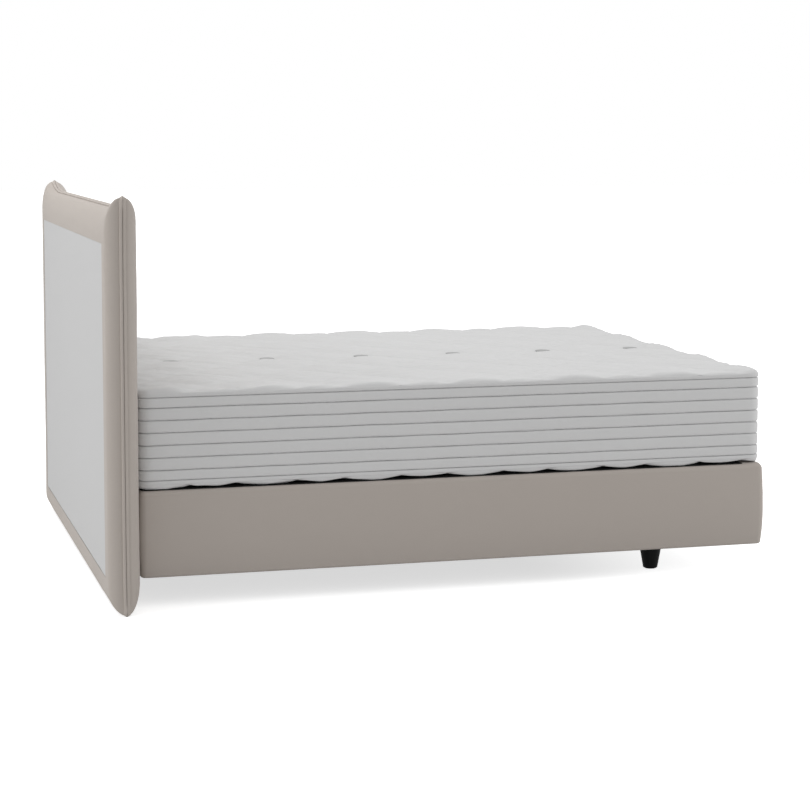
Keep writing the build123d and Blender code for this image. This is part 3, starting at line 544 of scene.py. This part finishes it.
def outline_map(x, z):
    """Moves a rectangular grid so that its rim follows the outline. Points in the back window stay."""
    wide = np.clip((np.abs(x) - WINDOW_HALF_WIDTH) / (seam_half_width - WINDOW_HALF_WIDTH), 0, 1)
    high = np.clip((z - WINDOW_HIGH) / (seam_high - WINDOW_HIGH), 0, 1)
    low = np.clip((WINDOW_LOW - z) / (WINDOW_LOW - seam_low), 0, 1)
    moved_x = x - np.sign(x) * (SIDE_DRAW - side_lift(z)) * wide
    return moved_x, z - ear_drop(x, HIGH_EAR_RISE) * high + ear_drop(x, LOW_EAR_RISE) * low


def roll_lack(room, roll):
    """How much of the full swell is lacking at a distance from a seam: all at 0, none past the roll."""
    reach, power = roll
    return 1 - (1 - np.clip(1 - room / reach, 0, 1)**power)**(1 / power)


def pillow_depth(x, z, rolls, low_ear_roll):
    """Distance of the cover from the seam plane. It is full in the middle and rolls in to every seam."""
    rooms = (seam_half_width - SIDE_DRAW + side_lift(z) - np.abs(x),
             seam_high - ear_drop(x, HIGH_EAR_RISE) - z,
             z - seam_low - ear_drop(x, LOW_EAR_RISE))
    side_roll, top_roll, bottom_roll = rolls
    ear_share = np.clip((np.abs(x) - LOW_EAR_START) / (seam_half_width - LOW_EAR_START), 0, 1)
    low_roll = tuple(middle + (ear - middle) * ear_share for middle, ear in zip(bottom_roll, low_ear_roll))
    lacks = [roll_lack(np.maximum(room, 0), roll)
             for room, roll in zip(rooms, (side_roll, top_roll, low_roll))]
    lack = sum(lack**CORNER_POWER for lack in lacks)**(1 / CORNER_POWER)
    return EDGE_DEPTH + (HALF_DEPTH - EDGE_DEPTH) * np.maximum(1 - lack, 0)


def with_window_edges(places, *edges):
    """Grid places with the window's edges among them, and none too close beside those."""
    clear = np.all([np.abs(places - edge) > WINDOW_SNAP for edge in edges], axis=0)
    return np.sort(np.concatenate([places[clear], edges]))


def make_headboard_half(name, sign, rolls, low_ear_roll, window, seed):
    """Half of the headboard's pillow. sign is -1 for the front, towards the mattress, and 1 for the back."""
    xs = grid_steps(-seam_half_width, seam_half_width, HEADBOARD_STEP, HEADBOARD_EDGE_STEPS)
    zs = grid_steps(seam_low, seam_high, HEADBOARD_STEP, HEADBOARD_EDGE_STEPS)
    if window:
        xs = with_window_edges(xs, -WINDOW_HALF_WIDTH, WINDOW_HALF_WIDTH)
        zs = with_window_edges(zs, WINDOW_LOW, WINDOW_HIGH)
    x0, z0 = np.meshgrid(xs, zs)
    x, z = outline_map(x0, z0)
    pillow = pillow_depth(x, z, rolls, low_ear_roll)

    from_side, from_end = seam_half_width - np.abs(x0), np.minimum(seam_high - z0, z0 - seam_low)
    edge = np.minimum(from_side, from_end)
    along = np.where(from_side < from_end, z0, x0)
    pucker = waves(along, edge * SEAM_PUCKER_STRETCH, SEAM_PUCKER_WAVE, seed)
    pucker *= SEAM_PUCKER * fade(edge, SEAM_PUCKER_REACH) * np.clip(edge / SEAM_PUCKER_START, 0, 1)
    dents = sum(size * waves(x, z, length, seed + number)
                for number, (size, length) in enumerate(FACE_DENTS, start=1))
    depth = pillow + pucker + np.clip(edge / FACE_CALM, 0, 1) * dents
    depth = np.minimum(depth, HALF_DEPTH + DEPTH_HEADROOM)
    depth = np.where(edge < SEAM_LINE_WIDTH, SEAM_LINE_DEPTH, depth)

    keep = None
    if window:
        outside = np.maximum(np.abs(x0) - WINDOW_HALF_WIDTH, np.maximum(z0 - WINDOW_HIGH, WINDOW_LOW - z0))
        free = np.clip(outside / WINDOW_FLATTENING, 0, 1)
        flattened = np.minimum(depth, HALF_DEPTH) * free + np.minimum(pillow, HALF_DEPTH) * (1 - free)
        depth = np.where(free < 1, flattened, depth)
        middle_x, middle_z = (x0[:-1, :-1] + x0[1:, 1:]) / 2, (z0[:-1, :-1] + z0[1:, 1:]) / 2
        keep = (np.abs(middle_x) > WINDOW_HALF_WIDTH) | (middle_z < WINDOW_LOW) | (middle_z > WINDOW_HIGH)
    grid = np.stack([x, SEAM_Y + sign * depth, z], -1)
    return piece_from_grid(name, grid, np.stack([x, z], -1), keep=keep, flip=sign > 0)


def make_back_cloth():
    """The flat cloth that closes the back, stretched over its board, its edge folded under."""
    xs = grid_steps(-WINDOW_HALF_WIDTH, WINDOW_HALF_WIDTH, BACK_CLOTH_STEP, BACK_CLOTH_EDGE_STEPS)
    zs = grid_steps(WINDOW_LOW, WINDOW_HIGH, BACK_CLOTH_STEP, BACK_CLOTH_EDGE_STEPS)
    x, z = np.meshgrid(xs, zs)
    edge = np.minimum(WINDOW_HALF_WIDTH - np.abs(x), np.minimum(WINDOW_HIGH - z, z - WINDOW_LOW))
    depth = HALF_DEPTH - BACK_CLOTH_SINK - BACK_CLOTH_FOLD * fade(edge, BACK_CLOTH_FOLD_WIDTH)
    depth += BACK_CLOTH_UNEVENNESS * waves(x, z, BACK_CLOTH_WAVE, BACK_CLOTH_SEED)
    grid = np.stack([x, SEAM_Y + depth, z], -1)
    return piece_from_grid("back_cloth", grid, np.stack([x, z], -1), flip=True)


def welt_path():
    """The outline with rounded tips: points, outward directions, distances and closeness to a tip."""
    tall = seam_high - seam_middle
    near_tip = np.array(WELT_TIP_STEPS)
    across, up = (np.concatenate([np.arange(0, length - WELT_TIP_START, WELT_STEP), length - near_tip])
                  for length in (seam_half_width, tall))
    side = np.stack([seam_half_width - SIDE_DRAW + side_lift(seam_middle + up), up], -1)
    quarters = []
    for rise in (HIGH_EAR_RISE, LOW_EAR_RISE):
        end_slope, side_slope, half_angle, bearing = tip_angles(rise)
        setback = TIP_RADIUS / math.sin(half_angle)
        end = np.stack([across, tall - ear_drop(across, rise)], -1)[::-1]
        centre = np.array([seam_half_width - setback * math.cos(bearing), tall - setback * math.sin(bearing)])
        turns = np.linspace(-side_slope, math.pi / 2 + end_slope, WELT_TIP_POINTS)
        tip = centre + TIP_RADIUS * np.stack([np.cos(turns), np.sin(turns)], -1)
        quarters.append(np.concatenate([side, tip, end]))
    high, low = quarters
    points = np.concatenate([high, (high * (-1, 1))[::-1][1:],
                             (low * (-1, -1))[1:], (low * (1, -1))[::-1][1:-1]])
    away = np.hypot(seam_half_width - np.abs(points[:, 0]), tall - np.abs(points[:, 1]))
    points = points + (0, seam_middle)
    ahead = np.roll(points, -1, 0) - np.roll(points, 1, 0)
    ahead /= np.linalg.norm(ahead, axis=1)[:, None]
    outward = np.stack([ahead[:, 1], -ahead[:, 0]], -1)
    points, outward, away = (np.concatenate([row, row[:1]]) for row in (points, outward, away))
    return points, outward, run_lengths(points), np.clip(NUB_START - away / NUB_REACH, 0, 1)


def make_welt(name, sign):
    """A padded cord sewn round the outline, one on each side of the seam. They meet in a nub at each tip."""
    points, outward, along, closed = welt_path()
    angles = np.radians(np.linspace(*WELT_ARC, WELT_ARC_POINTS))
    radius_out = WELT_HEIGHT * WELT_ROUNDNESS
    out = WELT_HEIGHT - radius_out + radius_out * np.sin(angles)
    deep = WELT_WIDTH / 2 + (WELT_WIDTH / 2 - WELT_GAP) * np.cos(angles)
    nub = WELT_HEIGHT * np.maximum(NUB_HEIGHT - (deep / (NUB_WIDTH * WELT_WIDTH))**NUB_POWER, 0)
    nub = np.where(angles < 0, nub + out - out[np.argmin(np.abs(angles))], nub)
    turn = along * FULL_TURN / along[-1]
    swell = 1 + WELT_UNEVENNESS * loop_waves(turn, along[-1], WELT_WAVE, WELT_SEED + sign)
    shift = (out[:, None] * (1 - closed) + nub[:, None] * closed) * swell[None, :]
    grid = carried(points, outward, shift, SEAM_Y + sign * deep[:, None])[..., [0, 2, 1]]
    grid[..., 2] = np.maximum(grid[..., 2], 0.0)
    uv_across = np.linspace(0, WELT_UV_WIDTH, len(angles))
    uv = np.stack(np.broadcast_arrays(along[None, :], uv_across[:, None]), -1)
    return piece_from_grid(name, grid, uv, wrap=True, flip=sign < 0)


# Materials

# Metres from band to band in the wave texture at a scale of 1
BAND_AT_SCALE_ONE = 0.314159
# Sockets of the Mix node for colours
MIX_SHARE, MIX_A, MIX_B, MIX_RESULT = 0, 6, 7, 2
SRGB_KNEE, SRGB_SLOPE, SRGB_OFFSET, SRGB_GAMMA = 0.04045, 12.92, 0.055, 2.4


def add_node(tree, kind, inputs=None, **settings):
    """A node whose inputs are linked where a socket is given and set where a value is given."""
    node = tree.nodes.new(kind)
    for key, value in settings.items():
        setattr(node, key, value)
    for key, value in (inputs or {}).items():
        if isinstance(value, bpy.types.NodeSocket):
            tree.links.new(value, node.inputs[key])
        else:
            node.inputs[key].default_value = value
    return node


class Nodes:
    """A material's node tree with short calls for the nodes used here."""

    def __init__(self, name, color, roughness, **constants):
        self.material = bpy.data.materials.new(name)
        self.material.use_nodes = True
        self.tree = self.material.node_tree
        self.shader = self.tree.nodes["Principled BSDF"]
        self.shader.inputs["Base Color"].default_value = (*color, 1)
        self.shader.inputs["Roughness"].default_value = roughness
        for key, value in constants.items():
            self.shader.inputs[key.replace("_", " ")].default_value = value

    def add(self, kind, inputs=None, **settings):
        return add_node(self.tree, kind, inputs, **settings)

    def cloth_place(self):
        """Metres along the cloth's own layer of coordinates."""
        return self.add("ShaderNodeUVMap", uv_map="cloth").outputs[0]

    def object_place(self):
        return self.add("ShaderNodeTexCoord").outputs["Object"]

    def stretched(self, scale):
        return self.add("ShaderNodeMapping", {0: self.object_place(), "Scale": scale}).outputs[0]

    def noise(self, place, scale, detail=2.0, roughness=0.5):
        inputs = {"Vector": place, "Scale": scale, "Detail": detail, "Roughness": roughness}
        return self.add("ShaderNodeTexNoise", inputs).outputs["Fac"]

    def bands(self, place, size, direction, distortion):
        """Sine bands, one per size metres."""
        inputs = {"Vector": place, "Scale": BAND_AT_SCALE_ONE / size, "Distortion": distortion,
                  "Detail": 1.0, "Detail Scale": 2.0}
        wave = self.add("ShaderNodeTexWave", inputs, wave_type="BANDS", bands_direction=direction)
        return wave.outputs["Fac"]

    def math(self, operation, a, b):
        return self.add("ShaderNodeMath", {0: a, 1: b}, operation=operation).outputs[0]

    def mix(self, share, a, b):
        """The colour between a and b, each given as three values or as a socket."""
        a, b = (color if isinstance(color, bpy.types.NodeSocket) else (*color, 1) for color in (a, b))
        inputs = {MIX_SHARE: share, MIX_A: a, MIX_B: b}
        return self.add("ShaderNodeMix", inputs, data_type="RGBA").outputs[MIX_RESULT]

    def color(self, socket):
        self.tree.links.new(socket, self.shader.inputs["Base Color"])

    def roughness(self, socket, low, high):
        spread = self.add("ShaderNodeMapRange", {"Value": socket, "To Min": low, "To Max": high}).outputs[0]
        self.tree.links.new(spread, self.shader.inputs["Roughness"])

    def bump(self, height, distance, strength):
        """Adds a bump on top of those already there."""
        last = self.shader.inputs["Normal"]
        inputs = {"Height": height, "Distance": distance, "Strength": strength}
        if last.links:
            inputs["Normal"] = last.links[0].from_socket
        self.tree.links.new(self.add("ShaderNodeBump", inputs).outputs[0], last)


def srgb(*values):
    """Linear colour from 0 to 255 display values."""
    shares = [value / 255 for value in values]
    return tuple(share / SRGB_SLOPE if share <= SRGB_KNEE
                 else ((share + SRGB_OFFSET) / (1 + SRGB_OFFSET))**SRGB_GAMMA for share in shares)


def scaled(color, factor):
    return tuple(min(1, channel * factor) for channel in color)


def woven(name, color, thread, depth, spread, sheen):
    """A plain weave: two sets of threads, slightly uneven in thickness and shade."""
    cloth = Nodes(name, color, roughness=0.85, Sheen_Weight=sheen, Sheen_Roughness=0.45,
                  Specular_IOR_Level=0.25)
    place = cloth.cloth_place()
    threads = [cloth.bands(place, thread, direction, distortion=1.2) for direction in ("X", "Y")]
    weave = cloth.math("ADD", *threads)
    yarn = cloth.noise(place, scale=0.35 / thread, detail=3.0)
    blotch = cloth.noise(place, scale=4.0, detail=4.0, roughness=0.55)
    shade = cloth.mix(yarn, scaled(color, 1 - spread), scaled(color, 1 + spread))
    cloth.color(cloth.mix(cloth.math("MULTIPLY", blotch, 0.5), shade, scaled(color, 1 - spread / 2)))
    cloth.roughness(yarn, low=0.78, high=0.95)
    cloth.bump(weave, depth, strength=0.5)
    cloth.bump(cloth.noise(place, scale=45.0, detail=3.0), distance=0.0006, strength=0.35)
    return cloth.material


def knitted(name, color):
    """A stretch knit: fine ribs of loops over soft padding."""
    cloth = Nodes(name, color, roughness=0.9, Sheen_Weight=0.15, Sheen_Roughness=0.5, Specular_IOR_Level=0.2)
    place = cloth.cloth_place()
    ribs = [cloth.bands(place, size, direction, distortion=0.6)
            for size, direction in ((0.0016, "X"), (0.0012, "Y"))]
    loops = cloth.math("MULTIPLY", *ribs)
    pile = cloth.noise(place, scale=900.0)
    soft = cloth.noise(place, scale=28.0, detail=3.0)
    cloth.color(cloth.mix(cloth.math("MULTIPLY", pile, 0.6), scaled(color, 1.02), scaled(color, 0.93)))
    cloth.roughness(pile, low=0.82, high=0.97)
    cloth.bump(loops, distance=0.0002, strength=0.4)
    cloth.bump(soft, distance=0.0022, strength=0.35)
    return cloth.material


def wooden(name, light, dark, roughness, grain):
    """Sawn wood, its grain drawn out along the bed."""
    wood = Nodes(name, light, roughness)
    place = wood.stretched((grain, 1.2, grain))
    inputs = {"Vector": place, "Scale": 1.1, "Distortion": 5.0, "Detail": 3.0}
    rings = wood.add("ShaderNodeTexWave", inputs, wave_type="RINGS").outputs["Fac"]
    fibre = wood.noise(place, scale=40.0, detail=4.0)
    wood.color(wood.mix(wood.math("MULTIPLY", wood.math("ADD", rings, fibre), 0.5), light, dark))
    wood.bump(fibre, distance=0.0003, strength=0.4)
    return wood.material


def lacquered_black():
    """Black lacquer over upright wood, with fine pores."""
    wood = Nodes("black_lacquer", srgb(8, 9, 9), roughness=0.6, Specular_IOR_Level=0.1)
    pores = wood.noise(wood.stretched((120, 120, 9)), scale=3.0, detail=4.0)
    wood.color(wood.mix(pores, srgb(6, 7, 7), srgb(12, 13, 13)))
    wood.roughness(pores, low=0.5, high=0.65)
    wood.bump(pores, distance=0.0002, strength=0.5)
    return wood.material


def plated_steel():
    """Zinc plate with a small spangle."""
    steel = Nodes("zinc_plate", srgb(176, 176, 172), roughness=0.35, Metallic=1.0)
    inputs = {"Vector": steel.object_place(), "Scale": 260.0}
    spangle = steel.add("ShaderNodeTexVoronoi", inputs).outputs["Distance"]
    steel.color(steel.mix(spangle, srgb(188, 188, 186), srgb(150, 150, 148)))
    steel.roughness(spangle, low=0.28, high=0.5)
    return steel.material


def speckled(name, color, scale, roughness, depth):
    """A plain material with a fine grain, such as felt, foam or moulded plastic."""
    grain = Nodes(name, color, roughness, Specular_IOR_Level=0.3)
    fine = grain.noise(grain.object_place(), scale, detail=4.0, roughness=0.65)
    grain.color(grain.mix(fine, scaled(color, 1.12), scaled(color, 0.86)))
    grain.roughness(fine, low=max(roughness - 0.1, 0.1), high=min(roughness + 0.1, 1))
    grain.bump(fine, depth, strength=0.5)
    return grain.material


def paint(obj, material):
    obj.data.materials.clear()
    obj.data.materials.append(material)


TAUPE = srgb(178, 170, 163)

taupe = woven("taupe_weave", TAUPE, thread=0.0011, depth=0.00012, spread=0.05, sheen=0.12)
taupe_cord = woven("taupe_cord_weave", scaled(TAUPE, 1.02), thread=0.0009, depth=0.0001, spread=0.05,
                   sheen=0.12)
grey_lining = woven("grey_lining", srgb(195, 195, 195), thread=0.0008, depth=0.00006, spread=0.03, sheen=0.0)
black_cloth = woven("black_cloth", srgb(14, 14, 14), thread=0.0009, depth=0.0001, spread=0.2, sheen=0.0)
white_knit = knitted("white_knit", srgb(208, 208, 208))
white_tape = woven("white_tape", srgb(206, 206, 206), thread=0.0014, depth=0.0001, spread=0.03, sheen=0.05)
grey_felt = speckled("grey_felt", srgb(172, 172, 172), scale=700.0, roughness=0.95, depth=0.0004)
foam_skin = speckled("foam", srgb(232, 224, 196), scale=500.0, roughness=0.95, depth=0.0005)
pine = wooden("pine", srgb(222, 196, 152), srgb(186, 150, 104), roughness=0.6, grain=14.0)
fibreboard = speckled("fibreboard", srgb(150, 118, 84), scale=350.0, roughness=0.7, depth=0.0002)
black_lacquer = lacquered_black()
zinc = plated_steel()
black_plastic = speckled("black_plastic", srgb(24, 24, 24), scale=900.0, roughness=0.5, depth=0.0001)
by_slot = {
    "pine": pine, "fibreboard": fibreboard, "black_wood": black_lacquer, "zinc_steel": zinc,
    "black_plastic": black_plastic, "foam": foam_skin, "pocketed_springs": foam_skin,
}


# Pieces

TOP_PANEL_SEED, BOTTOM_PANEL_SEED, FRONT_SEED, BACK_SEED = 11, 17, 71, 83

mattress_low, mattress_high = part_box("mattress_border")
first_tuft_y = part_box("mattress_tufts")[0][1] + TUFT_RADIUS
tape_low = channel_heights()[-1]
tuft_level = MATTRESS_HIGH - QUILT_PUFF + TUFT_RISE

mattress_side = make_mattress_side()
top_tape = make_tape("top_tape", tape_low)
bottom_tape = make_tape("bottom_tape", 2 * MATTRESS_MIDDLE - tape_low - TAPE_HEIGHT)
top_panel = make_panel("top_panel", 1, TOP_FORM, mattress_low, mattress_high, first_tuft_y, TOP_PANEL_SEED)
bottom_panel = make_panel("bottom_panel", -1, BOTTOM_FORM, mattress_low, mattress_high, first_tuft_y,
                          BOTTOM_PANEL_SEED)
tufts = make_tufts("tufts", 1, first_tuft_y, tuft_level)
anchors = make_tufts("tuft_anchors", -1, first_tuft_y, 2 * MATTRESS_MIDDLE - tuft_level)
for piece, material, slot in (
        (mattress_side, white_knit, "white_knit"), (top_panel, white_knit, "white_knit"),
        (bottom_panel, white_knit, "white_knit"), (top_tape, white_tape, "white_tape"),
        (bottom_tape, white_tape, "white_tape"), (tufts, grey_felt, "grey_felt"),
        (anchors, grey_felt, "grey_felt")):
    paint(piece, material)
    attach(piece, "mattress")
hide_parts("mattress_border", "mattress_edge_foam", "mattress_springs")
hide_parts("mattress_top_panel", "mattress_top_foam")
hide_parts("mattress_bottom_panel", "mattress_base_foam")
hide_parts("mattress_top_tape")
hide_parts("mattress_bottom_tape")
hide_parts("mattress_tufts", "mattress_tuft_tapes")
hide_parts("mattress_tuft_anchors")

box_side = make_box_cover()
deck_cloth = make_deck_cloth()
dust_cloth = make_dust_cloth()
headboard_front = make_headboard_half("headboard_front", -1, FRONT_ROLLS, FRONT_LOW_EAR_ROLL,
                                      window=False, seed=FRONT_SEED)
headboard_back = make_headboard_half("headboard_back", 1, BACK_ROLLS, BACK_LOW_EAR_ROLL,
                                     window=True, seed=BACK_SEED)
back_cloth = make_back_cloth()
front_welt = make_welt("front_welt", -1)
back_welt = make_welt("back_welt", 1)
for piece, material, slot in (
        (box_side, taupe, "taupe_upholstery"), (headboard_front, taupe, "taupe_upholstery"),
        (headboard_back, taupe, "taupe_upholstery"), (front_welt, taupe_cord, "taupe_upholstery"),
        (back_welt, taupe_cord, "taupe_upholstery"), (back_cloth, grey_lining, "grey_back_cloth"),
        (deck_cloth, black_cloth, "black_deck_cloth"), (dust_cloth, black_cloth, "black_deck_cloth")):
    paint(piece, material)
    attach(piece, "base")
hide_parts("box_cover", "box_side_padding", "box_edge_foam", "box_springs")
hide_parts("box_deck_cloth", "box_top_foam")
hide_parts("box_dust_cloth")
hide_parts("headboard_front_cover", "headboard_front_foam")
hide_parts("headboard_back_cover", "headboard_back_foam")
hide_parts("headboard_back_cloth")
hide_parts("headboard_front_welt")
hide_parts("headboard_back_welt")

slot_of = {entry["node"]: entry["material_slot"] for entry in frame["record"]["subparts"]}
for node, obj in frame["nodes"].items():
    if slot_of.get(node) in by_slot:
        paint(obj, by_slot[slot_of[node]])


# Stage

FLOOR_SIZE, FLOOR_GREY = 80, 0.75
# The floor's own glow under the bed and past its foot, and the two places along Y between which it changes
FLOOR_GLOW, FOOT_GLOW = 0.66, 0.90
FLOOR_GLOW_FROM, FLOOR_GLOW_TO = -0.30, -0.95
WORLD_LIGHT = 0.66
# Area lights: name, place, target, side of the square, watts
LIGHTS = (
    ("key", (0.8, 1.5, 4.6), (0, 0, 0.4), 3.5, 77),
    ("back", (-1.4, 6.0, 3.0), (0, 1.0, 0.7), 3.0, 84),
    ("front", (-2.0, -6.0, 2.0), (0, 1.0, 0.7), 2.5, 88),
)
PICTURE_PIXELS, SENSOR_WIDTH = 810, 36.0
CAMERA_FOCAL_PIXELS = 2112.46
CAMERA_SHIFT = -0.12
CAMERA_PLACE = (-6.94667, 1.83318, 1.41974)
CAMERA_HEADING, CAMERA_PITCH = -0.2690, -0.0856


def emptied_tree(owner):
    """The node tree of a new material or world, with nothing in it."""
    owner.use_nodes = True
    owner.node_tree.nodes.clear()
    return owner.node_tree


def seen_by_ray(tree, *kinds):
    """A socket that is 1 for rays of the given kinds and 0 for all others."""
    path = add_node(tree, "ShaderNodeLightPath")
    seen = path.outputs[kinds[0]]
    for kind in kinds[1:]:
        either = add_node(tree, "ShaderNodeMath", {0: seen, 1: path.outputs[kind]}, operation="MAXIMUM")
        seen = either.outputs[0]
    return seen


def make_floor():
    """A white floor that partly glows, more so past the foot of the bed, so that soft shadows stay pale."""
    bpy.ops.mesh.primitive_plane_add(size=FLOOR_SIZE, location=(0, 0, 0))
    floor = bpy.context.object
    floor.name = "floor"
    material = bpy.data.materials.new("floor")
    tree = emptied_tree(material)
    place = add_node(tree, "ShaderNodeTexCoord").outputs["Object"]
    along_bed = add_node(tree, "ShaderNodeSeparateXYZ", {0: place}).outputs["Y"]
    inputs = {"Value": along_bed, "From Min": FLOOR_GLOW_FROM, "From Max": FLOOR_GLOW_TO,
              "To Min": FLOOR_GLOW, "To Max": FOOT_GLOW}
    paler = add_node(tree, "ShaderNodeMapRange", inputs, interpolation_type="SMOOTHSTEP").outputs[0]
    seen = seen_by_ray(tree, "Is Camera Ray", "Is Glossy Ray")
    strength = add_node(tree, "ShaderNodeMath", {0: seen, 1: paler}, operation="MULTIPLY").outputs[0]
    diffuse = add_node(tree, "ShaderNodeBsdfDiffuse", {"Color": (FLOOR_GREY, FLOOR_GREY, FLOOR_GREY, 1)})
    glow = add_node(tree, "ShaderNodeEmission", {"Color": (1, 1, 1, 1), "Strength": strength})
    both = add_node(tree, "ShaderNodeAddShader", {0: diffuse.outputs[0], 1: glow.outputs[0]})
    add_node(tree, "ShaderNodeOutputMaterial", {"Surface": both.outputs[0]})
    floor.data.materials.append(material)


def make_world():
    """Plain light from all round, and pure white where it is seen, also through or in a shiny surface."""
    world = bpy.data.worlds.new("studio")
    bpy.context.scene.world = world
    tree = emptied_tree(world)
    lit, white = (add_node(tree, "ShaderNodeBackground", {"Color": (1, 1, 1, 1), "Strength": strength})
                  for strength in (WORLD_LIGHT, 1.0))
    seen = seen_by_ray(tree, "Is Camera Ray", "Is Glossy Ray", "Is Transmission Ray")
    mix = add_node(tree, "ShaderNodeMixShader", {0: seen, 1: lit.outputs[0], 2: white.outputs[0]})
    add_node(tree, "ShaderNodeOutputWorld", {"Surface": mix.outputs[0]})


def area_light(name, place, target, side, power):
    """A square lamp at place that faces target."""
    light = bpy.data.lights.new(name, "AREA")
    light.shape = "RECTANGLE"
    light.size, light.size_y = side, side
    light.energy = power
    obj = new_object(name, light)
    place, target = np.array(place, float), np.array(target, float)
    back = (place - target) / np.linalg.norm(place - target)
    across = np.cross((0, 0, 1), back)
    across /= np.linalg.norm(across)
    up = np.cross(back, across)
    rotation = Matrix([list(row) for row in np.stack([across, up, back], -1)])
    obj.matrix_world = Matrix.Translation(place.tolist()) @ rotation.to_4x4()


def make_camera():
    """The photograph's viewpoint. Its picture is shifted a little, as with a rising front."""
    data = bpy.data.cameras.new("camera")
    data.sensor_width = SENSOR_WIDTH
    data.lens = CAMERA_FOCAL_PIXELS / PICTURE_PIXELS * SENSOR_WIDTH
    data.shift_y = CAMERA_SHIFT
    obj = new_object("camera", data)
    obj.location = CAMERA_PLACE
    obj.rotation_euler = (math.pi / 2 + CAMERA_PITCH, 0, CAMERA_HEADING - math.pi / 2)
    bpy.context.scene.camera = obj


make_floor()
make_world()
for settings in LIGHTS:
    area_light(*settings)
make_camera()
bpy.context.scene.view_settings.view_transform = "Standard"
